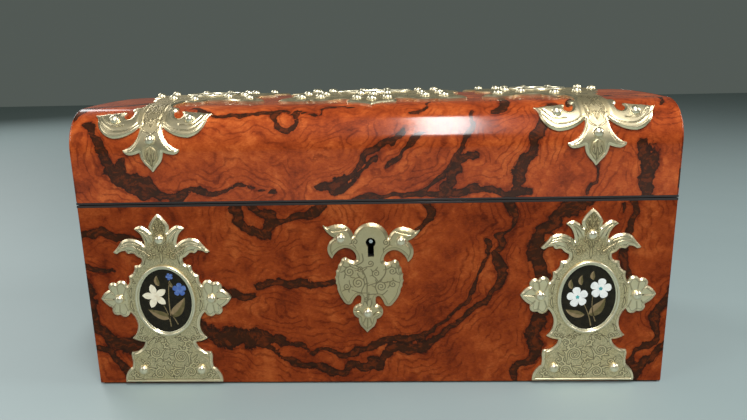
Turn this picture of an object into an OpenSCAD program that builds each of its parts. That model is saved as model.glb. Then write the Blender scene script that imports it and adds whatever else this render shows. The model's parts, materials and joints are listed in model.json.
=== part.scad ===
// Dome-topped casket in figured veneer, with engraved metal mounts, oval stone
// plaques, stop hinges and a link-plate box lock.
// X runs along the front, Y from front to back, Z up. The origin is the middle of
// the face that the box stands on. The front looks towards -Y.

/* [Carcass] */
// Width over the veneer
box_w = 300; // [290:1:330]
// Depth over the veneer
box_d = 150; // [146:1:180]
// Height from the table to the underside of the body edging
body_h = 98.4; // [97:0.2:115]
// Thickness of the front, back and end boards
board_t = 9; // [8.6:0.2:11]
// Thickness of the base board
base_t = 8; // [6:0.5:12]
// Thickness of the outer veneer
veneer_t = 1; // [0.6:0.1:1.6]
// Thickness of the cloth glued under the base
baize_t = 0.8; // [0.5:0.1:1.5]
// How far the cloth stays in from the edges
baize_inset = 1.5; // [0.5:0.5:4]
// Depth of the rebates that take the end boards
rebate_d = 4.5; // [3:0.5:6]

/* [Edging and seam] */
// Thickness of the ebonised edging on each rim
edging_t = 1.1; // [0.8:0.1:1.6]
// Gap between the closed rims
seam_gap = 0.4; // [0.3:0.1:0.8]

/* [Lid] */
// Height of the lid from its edging to the crown
lid_h = 48; // [46:0.5:60]
// Radius of the rounded shoulder along the front and back
shoulder_r = 21; // [18:0.5:24]
// Radius of the gently arched crown
crown_r = 880; // [600:20:1600]
// Width of each shaped rail, from the outside inwards
rail_w = 27; // [25:0.5:32]

/* [Lining] */
// Thickness of the padded wall linings
lining_t = 2.5; // [1.5:0.25:4]
// Thickness of the padded floor
floor_pad_t = 5; // [3:0.5:8]
// Thickness of the padding under the crown
lid_pad_t = 3; // [2:0.25:5]
// How far the linings stop short of the rims
lining_drop = 2; // [1:0.5:6]
// Clearance round each soft part
soft_gap = 0.2; // [0.1:0.05:0.5]

/* [Front plates] */
// Distance of the plate and strap axes from the middle
mount_x = 108.7; // [100:0.5:110]
// Thickness of the front plates and the escutcheon
plate_t = 1.8; // [1.2:0.1:2.5]
// Height of the plates' feet above the table
plate_foot_z = 2; // [1.5:0.1:2.5]
// Height of the oval above the plate's foot
oval_z = 46.8; // [45:0.2:48]
// Half width of the stone seen inside the bezel
oval_a = 13.7; // [12:0.1:14]
// Half height of the stone seen inside the bezel
oval_b = 17.3; // [15:0.1:18]
// Width of the bezel's face
bezel_w = 2.1; // [1.4:0.1:2.4]
// How far the bezel stands above the plate
bezel_h = 1.2; // [0.6:0.1:2]
// How far the stone runs under the bezel
stone_lap = 0.6; // [0.3:0.1:1]
// Depth of the coloured stones let into the black one
inlay_depth = 0.7; // [0.4:0.1:1]

/* [Lid mounts] */
// Thickness of the straps and the centre mount
strap_t = 1.6; // [1.2:0.1:2.2]
// Half width of the strap's neck
neck_w = 7.3; // [6.8:0.1:7.6]
// Distance of the side ovals from the straps' axes
lid_oval_in = 12.4; // [11:0.2:14]
// Half length of the centre mount's stone, along the box
centre_oval_a = 20; // [17:0.5:21]
// Half depth of the centre mount's stone
centre_oval_b = 13.4; // [11:0.2:14]

/* [Studs] */
// Radius of a stud's head
stud_r = 2.7; // [2.2:0.1:3]
// Height of a stud's head
stud_h = 2.2; // [1.6:0.1:2.6]
// Radius of a stud's shank
shank_r = 0.6; // [0.5:0.05:0.8]
// Length of the shank below the head
shank_len = 5; // [4:0.5:6]
// Radial clearance of the shanks and screws in their holes
hole_clear = 0.02; // [0.01:0.01:0.05]

/* [Hinges] */
// Distance of each hinge from the middle
hinge_x = 92; // [70:1:110]
// Length of the knuckle and leaves
hinge_w = 34; // [28:1:44]
// Thickness of a leaf
leaf_t = 1.6; // [1.3:0.1:2]
// Radius of the knuckle
knuckle_r = 2.4; // [2.2:0.1:2.6]
// Radius of the hinge pin
pin_r = 1.2; // [0.9:0.1:1.4]
// Radial clearance of the pin
pin_clear = 0.04; // [0.02:0.01:0.08]
// Gap between the knuckle and the back of the box
knuckle_gap = 0.3; // [0.2:0.05:0.6]
// Height of the stop blocks under and over the knuckle
stop_h = 7; // [6:0.5:9]
// Depth of the stop blocks behind the pin
stop_d = 4; // [3:0.25:5]
// Angle at which the stop blocks meet
stop_angle = 95.6; // [90:0.2:110]
// Side gap between neighbouring knuckles
knuckle_slack = 0.15; // [0.1:0.05:0.3]

/* [Lock] */
// Offset of the lock and keyhole from the middle
lock_x = -1.4; // [-4:0.2:4]
// Depth of the keyhole's centre below the edging's underside
keyhole_drop = 19.4; // [18.4:0.2:20.4]
// Turn of the escutcheon, top towards the right
escutcheon_tilt = 3.3; // [-4:0.1:4]
// Width of the lock's case
lock_w = 56; // [54:1:64]
// Height of the lock's case below its top plate
lock_h = 32; // [29:1:40]
// Depth of the lock's case and cap together
lock_t = 7.2; // [6.8:0.1:7.4]
// Wall of the lock's case
lock_wall = 1.2; // [0.8:0.1:1.3]
// Thickness of the lock's top plate and the link plate
top_plate_t = 1.8; // [1.4:0.1:2.2]
// Overhang of the top plate past each side of the case
top_plate_ear = 7; // [6:0.5:9]
// Radius of the keyhole's round part
keyhole_r = 2.5; // [2:0.1:2.8]
// Width of the keyhole's slot
keyhole_slot = 3.1; // [2.4:0.1:3.4]
// Length of the keyhole below its centre
keyhole_len = 7.4; // [6:0.2:8]
// Radius of the drill pin that guides the key
drill_pin_r = 0.95; // [0.7:0.05:1.1]
// Travel of the bolt
bolt_travel = 4.5; // [4:0.1:5]
// Thickness of the bolt
bolt_t = 2.5; // [2:0.1:2.8]
// Distance of each link from the lock's middle
link_x = 14; // [13:0.5:16]
// Thickness of a link
link_t = 2.5; // [2:0.1:2.8]
// Sliding clearance in the lock
lock_clear = 0.1; // [0.06:0.02:0.2]

/* [Screws] */
// Radius of a countersunk screw head
screw_head_r = 2; // [1.7:0.1:2.2]
// Radius of a screw's shank
screw_r = 0.9; // [0.7:0.05:1.1]
// Length of the hinge and lock screws
screw_len = 9; // [7:0.5:12]

/* [Hidden] */
$fn = 48;

// A cut reaches this far past the face it opens
over = 1;

half_w = box_w / 2;
half_d = box_d / 2;
wall_t = board_t + veneer_t;
carcass_w = box_w - 2 * veneer_t;
carcass_d = box_d - 2 * veneer_t;
inner_w = box_w - 2 * wall_t;
inner_d = box_d - 2 * wall_t;
floor_z = baize_t + base_t;

rim_z = body_h + edging_t;
lid_rim_z = rim_z + seam_gap;
lid_z = lid_rim_z + edging_t;
apex_z = lid_z + lid_h;

// The crown and the shoulders are tangent arcs
crown_z = apex_z - crown_r;
shoulder_y = half_d - shoulder_r;
lean = asin(shoulder_y / (crown_r - shoulder_r));
shoulder_z = crown_z + (crown_r - shoulder_r) * cos(lean);
shoulder_turn = 90 - lean;
shoulder_steps = 18;
crown_steps = 8;

// Lengths along the section, from the lid's lower edge upwards
flat_run = shoulder_z - lid_z;
shoulder_run = shoulder_r * shoulder_turn * PI / 180;

// ---------------------------------------------------------------- outlines

// An outline is a list of [x, y, bulge]. A bulge of 0 is a straight side, and 1 a half
// circle, which swells to the left of the way the outline runs where it is positive.
arc_step = 24;
fewest_steps = 3;

function turned(v, a) = [v[0] * cos(a) - v[1] * sin(a), v[0] * sin(a) + v[1] * cos(a)];

function arc_from(p, q, bulge) =
    let (
        chord = q - p,
        sagitta = bulge * norm(chord) / 2,
        left = turned(chord, 90) / norm(chord),
        centre = (p + q) / 2 + left * (sagitta - norm(chord) * (bulge + 1 / bulge) / 4),
        sweep = -4 * atan(bulge),
        steps = max(fewest_steps, ceil(abs(sweep) / arc_step))
    )
    [for (i = [0 : steps - 1]) centre + turned(p - centre, sweep * i / steps)];

// The points of an open run, with its arcs divided
function run_points(run) = [
    for (i = [0 : len(run) - 2])
        let (p = [run[i][0], run[i][1]], q = [run[i + 1][0], run[i + 1][1]])
            each (run[i][2] == 0 ? [p] : arc_from(p, q, run[i][2])),
    [run[len(run) - 1][0], run[len(run) - 1][1]]
];

function backwards(points) = [for (i = [len(points) - 1 : -1 : 0]) points[i]];

// A run down the right-hand side and its mirror image up the left
function mirrored_x(points) = concat(points, backwards([for (p = points) [-p[0], p[1]]]));

// The same about the line y = 0, for a run that ends on it or starts from it
function mirrored_y(points) = concat(backwards([for (p = points) [p[0], -p[1]]]), points);

function ellipse_points(a, b, steps) =
    [for (i = [0 : steps - 1]) [a * cos(360 * i / steps), b * sin(360 * i / steps)]];

// Right half of a front plate from its top leaf to its foot, above the foot
plate_run = [
    [0, 93.2, 0.12], [5.1, 86.9, 0.2], [4.3, 83.5, 0.12], [9, 87, 0.2], [12.9, 85.3, -0.2],
    [8.9, 80.4, -0.1], [8.3, 76.8, 0.18], [14.1, 80.1, 0.24], [20.4, 78.5, -0.06],
    [24.9, 73.1, 0.2], [22.9, 72.4, -0.2], [18.6, 73.9, 0.3], [16.8, 72.3, -0.25],
    [14.2, 72.3, 0.15], [10.6, 69.7, -0.35], [12.3, 66.1, 0.1], [14.7, 65.7, -0.36],
    [18.3, 60.2, -0.3], [19.6, 55, 0.74], [25.3, 56.2, 0.78], [29.4, 52.8, 0.18],
    [34.2, 48.1, 0.18], [28.7, 42.7, 0.8], [25.2, 39.1, 0.72], [19.9, 40.4, -0.48],
    [20.1, 25.6, 0.15], [13.5, 23.4, -0.38], [21.3, 17.7, 0.1], [21.8, 14.5, -0.12],
    [21.9, 9.1, 0.27], [26.4, 0.4, 0], [26.4, 0, 0], [0, 0, 0]
];

// Right half of the escutcheon about the keyhole's centre
escutcheon_run = [
    [0, 10.1, 0.33], [8.9, 3, 0.29], [15, 8.6, 0.12], [22, 6.9, -0.2], [24.7, 8, 0.2],
    [18.3, 1.4, 0.54], [19.3, -9.6, -0.25], [13.5, -3.7, -0.5], [6.9, -9.4, -0.3],
    [9.1, -10.1, -0.15], [12.1, -8.6, 0.3], [14.7, -10.1, -0.2], [16.1, -12.8, -0.2],
    [17.2, -16.2, -0.2], [17.6, -19.7, -0.2], [17.1, -22.7, -0.2], [16.2, -25.9, 0.1],
    [12.7, -32.5, 0.3], [9.9, -34, 0.3], [8.1, -32.2, -0.1], [6, -29, -0.7], [3.7, -30.2, -0.1],
    [4, -33.2, 0.85], [4.6, -41.3, 0.2], [3, -46, -0.05], [0, -49.2, 0]
];

// Right half of a strap's finial: [offset from the axis, length up the lid's section]
neck_run = 58;
finial_run = [
    [neck_w, neck_run, 0], [neck_w, 53.2, -0.2], [8.6, 51, 0.5], [11.6, 49.4, 0.35],
    [10.3, 46.8, -0.2], [10.3, 44.4, -0.35], [12.6, 42.2, -0.4], [14.9, 44.2, -0.15],
    [13.9, 46.6, 0.45], [16.6, 46.9, -0.05], [21, 46.2, 0.1], [25, 45.6, -0.12],
    [29.7, 45.2, -0.15], [27.4, 41.8, 0.35], [18.6, 32, 0.21], [5.6, 37.6, -0.38],
    [14.2, 26.3, 0.3], [10.8, 23.9, 0.1], [5.8, 25.2, 0.18], [3.6, 19.4, -0.05], [0, 15.2, 0]
];

// Side mount on the crown, as part of the strap: the side towards the middle of the
// lid, from mid-depth to the front, as [distance from the strap's axis, y]
crown_front_y = -66;
inward_run = [
    [49, 0, 0.12], [38.5, -8, 0], [36.5, -10.5, 0.5], [41.5, -23, -0.2], [38.5, -27, 0.15],
    [51, -44, 0.22], [37, -43.5, 0], [35, -42, -0.42], [18.5, -37.5, 0.6],
    [9.4, -45, 0], [8.3, -44.4, -0.08], [neck_w, -54, 0], [neck_w, crown_front_y, 0]
];
// And the side towards the end of the box
outward_run = [
    [22, 0, 0.12], [15.5, -8.5, 0.5], [16, -20.5, 0], [13.8, -22, -0.16], [12.4, -34.5, 0],
    [11, -36, -0.12], [neck_w, -51, 0], [neck_w, crown_front_y, 0]
];

// A quarter of the centre mount, from its side tip to its front tip
centre_run = [
    [50, 0, 0.12], [41, -7, 0], [39.5, -9, 0.4], [44, -27, -0.2], [41.5, -30.5, 0.15],
    [49.5, -47, 0.2], [35, -49.5, 0], [33, -47.5, 0.5], [21, -46, -0.5],
    [11.5, -44.5, -0.2], [9.8, -48.5, 0.35], [12.4, -57, -0.12], [0, -62, 0]
];

// ------------------------------------------------------------------- studs

plate_studs = [[0, 79.9], [-24.2, 47.8], [24.2, 47.8], [-15.6, 7.8], [15.6, 7.8]];
escutcheon_studs = [[-15.2, 1.5], [15.2, 1.5], [0, -37.8]];
finial_studs = [[-18.8, 41.4], [18.8, 41.4], [0, 31]];
// [distance from the strap's axis towards the middle, y]
crown_studs = [[-2, -31], [-15.5, -13], [12, -38.5], [27, -25], [34, -15], [41.5, -37]];
centre_studs = [
    [0, -53], [8, -48], [-8, -48], [0, -27], [7.5, -19], [-7.5, -19],
    [38, -41], [-38, -41], [28, -40], [-28, -40], [37, -20], [-37, -20], [27, -22], [-27, -22]
];

// ------------------------------------------------------------ lid's section

// Turn of the surface from upright, at a length s along the section
function dome_turn(s) =
    s < flat_run ? 0 :
    s < flat_run + shoulder_run ? (s - flat_run) / shoulder_r * 180 / PI :
    shoulder_turn + (s - flat_run - shoulder_run) / crown_r * 180 / PI;

function dome_y(s) =
    s < flat_run + shoulder_run ? -shoulder_y - shoulder_r * cos(dome_turn(s)) :
    -crown_r * cos(dome_turn(s));

function dome_z(s) =
    s < flat_run ? lid_z + s :
    s < flat_run + shoulder_run ? shoulder_z + shoulder_r * sin(dome_turn(s)) :
    crown_z + crown_r * sin(dome_turn(s));

// The length along the section at which the crown has a given y
function crown_run_at(y) =
    flat_run + shoulder_run + (lean - asin(-y / crown_r)) * crown_r * PI / 180;

// Front half of the section, moved inwards by a distance, from the bottom to the crown
function half_section(inset, bottom) = concat(
    [[-half_d + inset, bottom]],
    [for (i = [0 : shoulder_steps])
        let (a = shoulder_turn * i / shoulder_steps, r = shoulder_r - inset)
            [-shoulder_y - r * cos(a), shoulder_z + r * sin(a)]],
    [for (i = [1 : crown_steps])
        let (a = shoulder_turn + lean * i / crown_steps, r = crown_r - inset)
            [-r * cos(a), crown_z + r * sin(a)]]
);

module section(inset, bottom = lid_z) {
    half = half_section(inset, bottom);
    polygon(concat(half, backwards([for (p = half) if (p[0] < 0) [-p[0], p[1]]])));
}

// A section drawn in the YZ plane, drawn out along X from x0 to x1
module along_x(x0, x1) {
    translate([x0, 0, 0]) rotate([90, 0, 90]) linear_extrude(x1 - x0) children();
}

// A layer of the dome between two insets
module dome_layer(x0, x1, outer, inner) {
    along_x(x0, x1) difference() {
        section(outer);
        section(inner, lid_z - over);
    }
}

// Children drawn with +Z along the outward normal, at an offset and a length up the lid
module on_dome(a, s) {
    translate([a, dome_y(s), dome_z(s)]) rotate([90 - dome_turn(s), 0, 0]) children();
}

// Children on the front, with +Z towards the viewer and +Y up
module on_front(x, z) {
    translate([x, -half_d, z]) rotate([90, 0, 0]) children();
}

module front_and_back() {
    children();
    mirror([0, 1, 0]) children();
}

module left_and_right() {
    children();
    mirror([1, 0, 0]) children();
}

// ------------------------------------------------------------ studs, screws

// The escutcheon's nails lie over the lock, so their shanks stop short of its case
shank_cover = 0.6;
key_shank_len = min(shank_len, plate_t + wall_t - lock_t - shank_cover);

// A domed nail: its head sits at z = 0 and its shank runs down
module stud(length = shank_len) {
    cap_r = (stud_r * stud_r + stud_h * stud_h) / (2 * stud_h);
    intersection() {
        translate([0, 0, stud_h - cap_r]) sphere(cap_r);
        cylinder(r = stud_r, h = stud_h);
    }
    translate([0, 0, -length]) cylinder(r = shank_r, h = length, $fn = 16);
}

module shank_hole(length = shank_len) {
    translate([0, 0, -length - hole_clear])
        cylinder(r = shank_r + hole_clear, h = length + over, $fn = 16);
}

module at_plate_studs(lift) {
    left_and_right() for (p = plate_studs)
        on_front(mount_x + p[0], plate_foot_z + p[1]) translate([0, 0, lift]) children();
}

module at_escutcheon_studs(lift) {
    escutcheon_place() for (p = escutcheon_studs)
        translate([p[0], p[1], lift]) children();
}

module at_strap_studs() {
    front_and_back() left_and_right() {
        for (p = finial_studs) on_dome(mount_x + p[0], p[1]) translate([0, 0, strap_t]) children();
        for (p = crown_studs)
            on_dome(mount_x - p[0], crown_run_at(p[1])) translate([0, 0, strap_t]) children();
    }
}

module at_centre_studs() {
    front_and_back() for (p = centre_studs)
        on_dome(p[0], crown_run_at(p[1])) translate([0, 0, strap_t]) children();
}

module body_stud_holes() {
    at_plate_studs(plate_t) shank_hole();
    at_escutcheon_studs(plate_t) shank_hole(key_shank_len);
}

module lid_stud_holes() {
    at_strap_studs() shank_hole();
    at_centre_studs() shank_hole();
}

// A countersunk screw with its head's face at z = 0, running down
head_depth = screw_head_r - screw_r;

module screw() {
    translate([0, 0, -head_depth]) cylinder(r1 = screw_r, r2 = screw_head_r, h = head_depth);
    translate([0, 0, -screw_len]) cylinder(r = screw_r, h = screw_len - head_depth);
}

module screw_hole() {
    translate([0, 0, -head_depth])
        cylinder(r1 = screw_r + hole_clear, r2 = screw_head_r + hole_clear, h = head_depth);
    cylinder(r = screw_head_r + hole_clear, h = over);
    translate([0, 0, -screw_len - hole_clear])
        cylinder(r = screw_r + hole_clear, h = screw_len - head_depth + 2 * hole_clear);
}

// ----------------------------------------------------------------- carcass

module wood(shade) {
    color(shade) children();
}

module block(x0, x1, y0, y1, z0, z1) {
    translate([x0, y0, z0]) cube([x1 - x0, y1 - y0, z1 - z0]);
}

front_y = -half_d + veneer_t;
front_inner_y = -half_d + wall_t;

// The front or back board before its own fittings are cut, at the front
module long_board() {
    difference() {
        block(-carcass_w / 2, carcass_w / 2, front_y, front_inner_y, floor_z, body_h);
        left_and_right()
            block(carcass_w / 2 - board_t, half_w, front_inner_y - rebate_d,
                front_inner_y + over, floor_z - over, body_h + over);
    }
}

module front_board() {
    wood("peru") difference() {
        long_board();
        lock_mortise();
        keyhole_cut(plate_t + wall_t + over);
        body_stud_holes();
        lock_screw_places() screw_hole();
    }
}

module back_board() {
    wood("peru") difference() {
        mirror([0, 1, 0]) long_board();
        hinge_gains(rim_z - leaf_t, body_h + over);
        hinge_body_screw_places() screw_hole();
    }
}

module end_board(side) {
    x0 = half_w - wall_t;
    wood("peru") mirror([side, 0, 0])
        block(x0, x0 + board_t, front_inner_y - rebate_d, -front_inner_y + rebate_d,
            floor_z, body_h);
}

module left_end_board() {
    end_board(1);
}

module right_end_board() {
    end_board(0);
}

module base_board() {
    wood("tan") block(-carcass_w / 2, carcass_w / 2, -carcass_d / 2, carcass_d / 2,
        baize_t, floor_z);
}

module front_veneer() {
    wood("saddlebrown") difference() {
        block(-half_w, half_w, -half_d, front_y, baize_t, body_h);
        keyhole_cut(plate_t + veneer_t + over);
        body_stud_holes();
    }
}

module back_veneer() {
    wood("saddlebrown") difference() {
        block(-half_w, half_w, -front_y, half_d, baize_t, body_h);
        hinge_gains(rim_z - leaf_t, body_h + over);
    }
}

module end_veneer(side) {
    wood("saddlebrown") mirror([side, 0, 0])
        block(half_w - veneer_t, half_w, front_y, -front_y, baize_t, body_h);
}

module left_end_veneer() {
    end_veneer(1);
}

module right_end_veneer() {
    end_veneer(0);
}

// A flat frame over the walls' edges
module rim_frame(z0) {
    difference() {
        block(-half_w, half_w, -half_d, half_d, z0, z0 + edging_t);
        block(-inner_w / 2, inner_w / 2, -inner_d / 2, inner_d / 2,
            z0 - over, z0 + edging_t + over);
    }
}

module body_edging() {
    color("#1c1210") difference() {
        rim_frame(body_h);
        top_plate_recess(body_h - over, rim_z + over);
        hinge_gains(body_h - over, rim_z + over);
    }
}

module base_baize() {
    color("darkolivegreen")
        block(-half_w + baize_inset, half_w - baize_inset, -half_d + baize_inset,
            half_d - baize_inset, 0, baize_t);
}

// ------------------------------------------------------------------ lining

pad_top = floor_z + floor_pad_t;

module floor_pad() {
    inset = lining_t + 2 * soft_gap;
    color("midnightblue")
        block(-inner_w / 2 + inset, inner_w / 2 - inset, -inner_d / 2 + inset,
            inner_d / 2 - inset, floor_z, pad_top);
}

module long_lining() {
    block(-inner_w / 2 + soft_gap, inner_w / 2 - soft_gap, -inner_d / 2 + soft_gap,
        -inner_d / 2 + soft_gap + lining_t, floor_z, body_h - lining_drop);
}

module end_lining() {
    inset = lining_t + 2 * soft_gap;
    block(inner_w / 2 - soft_gap - lining_t, inner_w / 2 - soft_gap, -inner_d / 2 + inset,
        inner_d / 2 - inset, floor_z, body_h - lining_drop);
}

module front_lining() {
    color("midnightblue") long_lining();
}

module back_lining() {
    color("midnightblue") mirror([0, 1, 0]) long_lining();
}

module left_lining() {
    color("midnightblue") mirror([1, 0, 0]) end_lining();
}

module right_lining() {
    color("midnightblue") end_lining();
}

// --------------------------------------------------------------------- lid

lid_end_x = half_w - wall_t;

module lid_rail() {
    intersection() {
        dome_layer(-lid_end_x, lid_end_x, veneer_t, wall_t);
        block(-half_w, half_w, -half_d, -half_d + rail_w, lid_z - over, apex_z + over);
    }
}

module lid_front_rail() {
    wood("peru") difference() {
        lid_rail();
        link_plate_recess(lid_z - over, lid_rim_z + top_plate_t);
        link_plate_screw_places() screw_hole();
        lid_stud_holes();
    }
}

module lid_back_rail() {
    wood("peru") difference() {
        mirror([0, 1, 0]) lid_rail();
        hinge_gains(lid_z - over, lid_rim_z + leaf_t);
        hinge_lid_screw_places() screw_hole();
        lid_stud_holes();
    }
}

module lid_top_board() {
    wood("peru") difference() {
        intersection() {
            dome_layer(-lid_end_x, lid_end_x, veneer_t, wall_t);
            block(-half_w, half_w, -half_d + rail_w, half_d - rail_w, lid_z, apex_z + over);
        }
        lid_stud_holes();
    }
}

module lid_end(side) {
    wood("peru") mirror([side, 0, 0]) along_x(lid_end_x, lid_end_x + board_t) section(veneer_t);
}

module lid_left_end() {
    lid_end(1);
}

module lid_right_end() {
    lid_end(0);
}

module lid_dome_veneer() {
    wood("sienna") difference() {
        dome_layer(-half_w + veneer_t, half_w - veneer_t, 0, veneer_t);
        hinge_gains(lid_z - over, lid_rim_z + leaf_t);
        lid_stud_holes();
    }
}

module lid_end_veneer(side) {
    wood("sienna") mirror([side, 0, 0]) along_x(half_w - veneer_t, half_w) section(0);
}

module lid_left_veneer() {
    lid_end_veneer(1);
}

module lid_right_veneer() {
    lid_end_veneer(0);
}

module lid_edging() {
    color("#1c1210") difference() {
        rim_frame(lid_rim_z);
        link_plate_recess(lid_rim_z - over, lid_z + over);
        hinge_gains(lid_rim_z - over, lid_z + over);
    }
}

// The padding hangs from the crown and runs down both shoulders
pad_foot_z = lid_z + lining_drop;

module lid_pad() {
    reach = lid_end_x - soft_gap;
    outer = wall_t + soft_gap;
    color("midnightblue") along_x(-reach, reach) difference() {
        section(outer, pad_foot_z);
        section(outer + lid_pad_t, pad_foot_z - over);
    }
}

module lid_end_pads() {
    color("midnightblue") left_and_right()
        along_x(lid_end_x - soft_gap - lining_t, lid_end_x - soft_gap)
            section(wall_t + lid_pad_t + 2 * soft_gap, pad_foot_z);
}

// ------------------------------------------------------------------ hinges

axis_y = half_d + knuckle_gap + knuckle_r;
axis_z = rim_z + seam_gap / 2;
knuckle_count = 5;
knuckle_w = hinge_w / knuckle_count;
leaf_inner_y = half_d - wall_t + 1;

// The pockets for the leaves in the back rims
module hinge_gains(z0, z1) {
    left_and_right() block(hinge_x - hinge_w / 2, hinge_x + hinge_w / 2,
        leaf_inner_y, half_d + over, z0, z1);
}

// Cylinders along the hinge for the knuckles with an even or odd place
module knuckles(parity, r, slack) {
    for (i = [0 : knuckle_count - 1]) if (i % 2 == parity)
        translate([hinge_x - hinge_w / 2 + i * knuckle_w - slack, axis_y, axis_z])
            rotate([0, 90, 0]) cylinder(r = r, h = knuckle_w + 2 * slack);
}

module pin_bore() {
    translate([hinge_x - hinge_w / 2 - over, axis_y, axis_z]) rotate([0, 90, 0])
        cylinder(r = pin_r + pin_clear, h = hinge_w + 2 * over);
}

// A leaf with its stop block, as the body has it, for the knuckles of one parity
module leaf_shape(parity) {
    x0 = hinge_x - hinge_w / 2;
    stop_slope = tan(stop_angle / 2);
    difference() {
        union() {
            block(x0, x0 + hinge_w, leaf_inner_y, axis_y, rim_z - leaf_t, rim_z);
            translate([0, axis_y, axis_z]) along_x(x0, x0 + hinge_w)
                polygon([[0, -seam_gap / 2], [-knuckle_r, -seam_gap / 2], [-knuckle_r, -stop_h],
                    [stop_d, -stop_h], [stop_d, -stop_d * stop_slope]]);
            knuckles(parity, knuckle_r, 0);
        }
        knuckles(1 - parity, knuckle_r + knuckle_slack, knuckle_slack);
        pin_bore();
    }
}

// A pose mirrored through the seam turns a body leaf into a lid leaf
module over_seam() {
    translate([0, 0, 2 * axis_z]) mirror([0, 0, 1]) children();
}

module body_leaf(side) {
    color("gold") mirror([side, 0, 0]) difference() {
        leaf_shape(0);
        one_hinge_screws() screw_hole();
    }
}

module lid_leaf(side) {
    color("gold") mirror([side, 0, 0]) over_seam() difference() {
        leaf_shape(1);
        one_hinge_screws() screw_hole();
    }
}

module hinge_pins() {
    color("goldenrod") left_and_right()
        translate([hinge_x - hinge_w / 2, axis_y, axis_z]) rotate([0, 90, 0])
            cylinder(r = pin_r, h = hinge_w);
}

// Three screws through each leaf
module one_hinge_screws() {
    for (i = [-1 : 1])
        translate([hinge_x + i * (hinge_w / 2 - 2.5 * screw_head_r),
            half_d - wall_t / 2, rim_z]) children();
}

module hinge_body_screw_places() {
    left_and_right() one_hinge_screws() children();
}

module hinge_lid_screw_places() {
    left_and_right() over_seam() one_hinge_screws() children();
}

module left_hinge_body_leaf() {
    body_leaf(1);
}

module right_hinge_body_leaf() {
    body_leaf(0);
}

module left_hinge_lid_leaf() {
    lid_leaf(1);
}

module right_hinge_lid_leaf() {
    lid_leaf(0);
}

// -------------------------------------------------------------------- lock

keyhole_z = body_h - keyhole_drop;
top_plate_z = rim_z - top_plate_t;
lock_bottom = top_plate_z - lock_h;
case_y0 = front_inner_y - lock_t;
cap_y0 = front_inner_y - lock_wall;
case_top = top_plate_z - lock_wall;
top_plate_half = lock_w / 2 + top_plate_ear;
top_plate_y0 = case_y0;

// The bolt slides in the middle of the case's depth
bolt_y = (case_y0 + lock_wall + cap_y0) / 2;
bolt_z0 = keyhole_z + 5;
bolt_h = 6;
bolt_top = bolt_z0 + bolt_h;
bolt_half = lock_w / 2 - lock_wall - bolt_travel - 1;
prong_r = 1;
eye_r = 1.4;
link_w = 4;
link_foot = 1.2;
link_slack = 0.5;
// The eyes and prongs sit between the bolt's bar and the case's top
prong_z = (bolt_top + case_top) / 2;
prong_rest_gap = 0.6;
prong_len = bolt_travel + 1.2;
horn_w = 3;
guide_r = 1.2;
guide_x = bolt_half - bolt_travel - 2 * guide_r;
talon_w = 5;
talon_h = 2.5;

module at_lock() {
    translate([lock_x, 0, 0]) children();
}

// The keyhole's shape, drawn to a depth behind the front of the plates
module keyhole_cut(depth) {
    on_front(lock_x, keyhole_z) translate([0, 0, plate_t + over - depth]) {
        cylinder(r = keyhole_r, h = depth);
        translate([-keyhole_slot / 2, -keyhole_len, 0]) cube([keyhole_slot, keyhole_len, depth]);
    }
}

module lock_mortise() {
    at_lock() {
        block(-lock_w / 2, lock_w / 2, case_y0, front_inner_y + over, lock_bottom, body_h + over);
        block(-top_plate_half, top_plate_half, top_plate_y0, front_inner_y + over,
            top_plate_z, body_h + over);
    }
}

module top_plate_recess(z0, z1) {
    at_lock() block(-top_plate_half, top_plate_half, top_plate_y0, front_inner_y + over, z0, z1);
}

module link_plate_recess(z0, z1) {
    top_plate_recess(z0, z1);
}

// The slots that the links drop through
module link_slots() {
    half_x = link_t / 2 + link_slack;
    half_y = link_w / 2 + link_slack;
    left_and_right() block(link_x - half_x, link_x + half_x, bolt_y - half_y, bolt_y + half_y,
        case_top - over, rim_z + over);
}

module lock_case() {
    color("gold") difference() {
        at_lock() {
            difference() {
                union() {
                    block(-lock_w / 2, lock_w / 2, case_y0, cap_y0, lock_bottom, top_plate_z);
                    block(-top_plate_half, top_plate_half, top_plate_y0, front_inner_y,
                        top_plate_z, rim_z);
                }
                block(-lock_w / 2 + lock_wall, lock_w / 2 - lock_wall, case_y0 + lock_wall,
                    cap_y0 + over, lock_bottom + lock_wall, case_top);
                link_slots();
            }
            left_and_right() translate([guide_x, case_y0, bolt_z0 + bolt_h / 2])
                rotate([-90, 0, 0]) cylinder(r = guide_r, h = cap_y0 - case_y0);
        }
        keyhole_cut(plate_t + wall_t - lock_t + lock_wall + 2 * over);
        lock_screw_places() screw_hole();
    }
}

module lock_cap() {
    color("gold") difference() {
        at_lock() block(-lock_w / 2, lock_w / 2, cap_y0, front_inner_y, lock_bottom, top_plate_z);
        drill_pin_place() cylinder(r = drill_pin_r + hole_clear, h = lock_wall + over);
    }
}

// The pin is riveted in the cap and points out of the keyhole
module drill_pin_place() {
    translate([lock_x, front_inner_y + over, keyhole_z]) rotate([90, 0, 0]) children();
}

module drill_pin() {
    color("silver") translate([0, -over, 0]) drill_pin_place()
        cylinder(r = drill_pin_r, h = wall_t - veneer_t / 2);
}

// A prong on its horn, at rest just left of its link
module prong() {
    tip_x = link_x - link_t / 2 - prong_rest_gap;
    translate([tip_x - prong_len, bolt_y, prong_z]) rotate([0, 90, 0])
        cylinder(r = prong_r, h = prong_len);
    block(tip_x - prong_len - horn_w, tip_x - prong_len, bolt_y - bolt_t / 2,
        bolt_y + bolt_t / 2, bolt_top - over, prong_z + prong_r);
}

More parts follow.
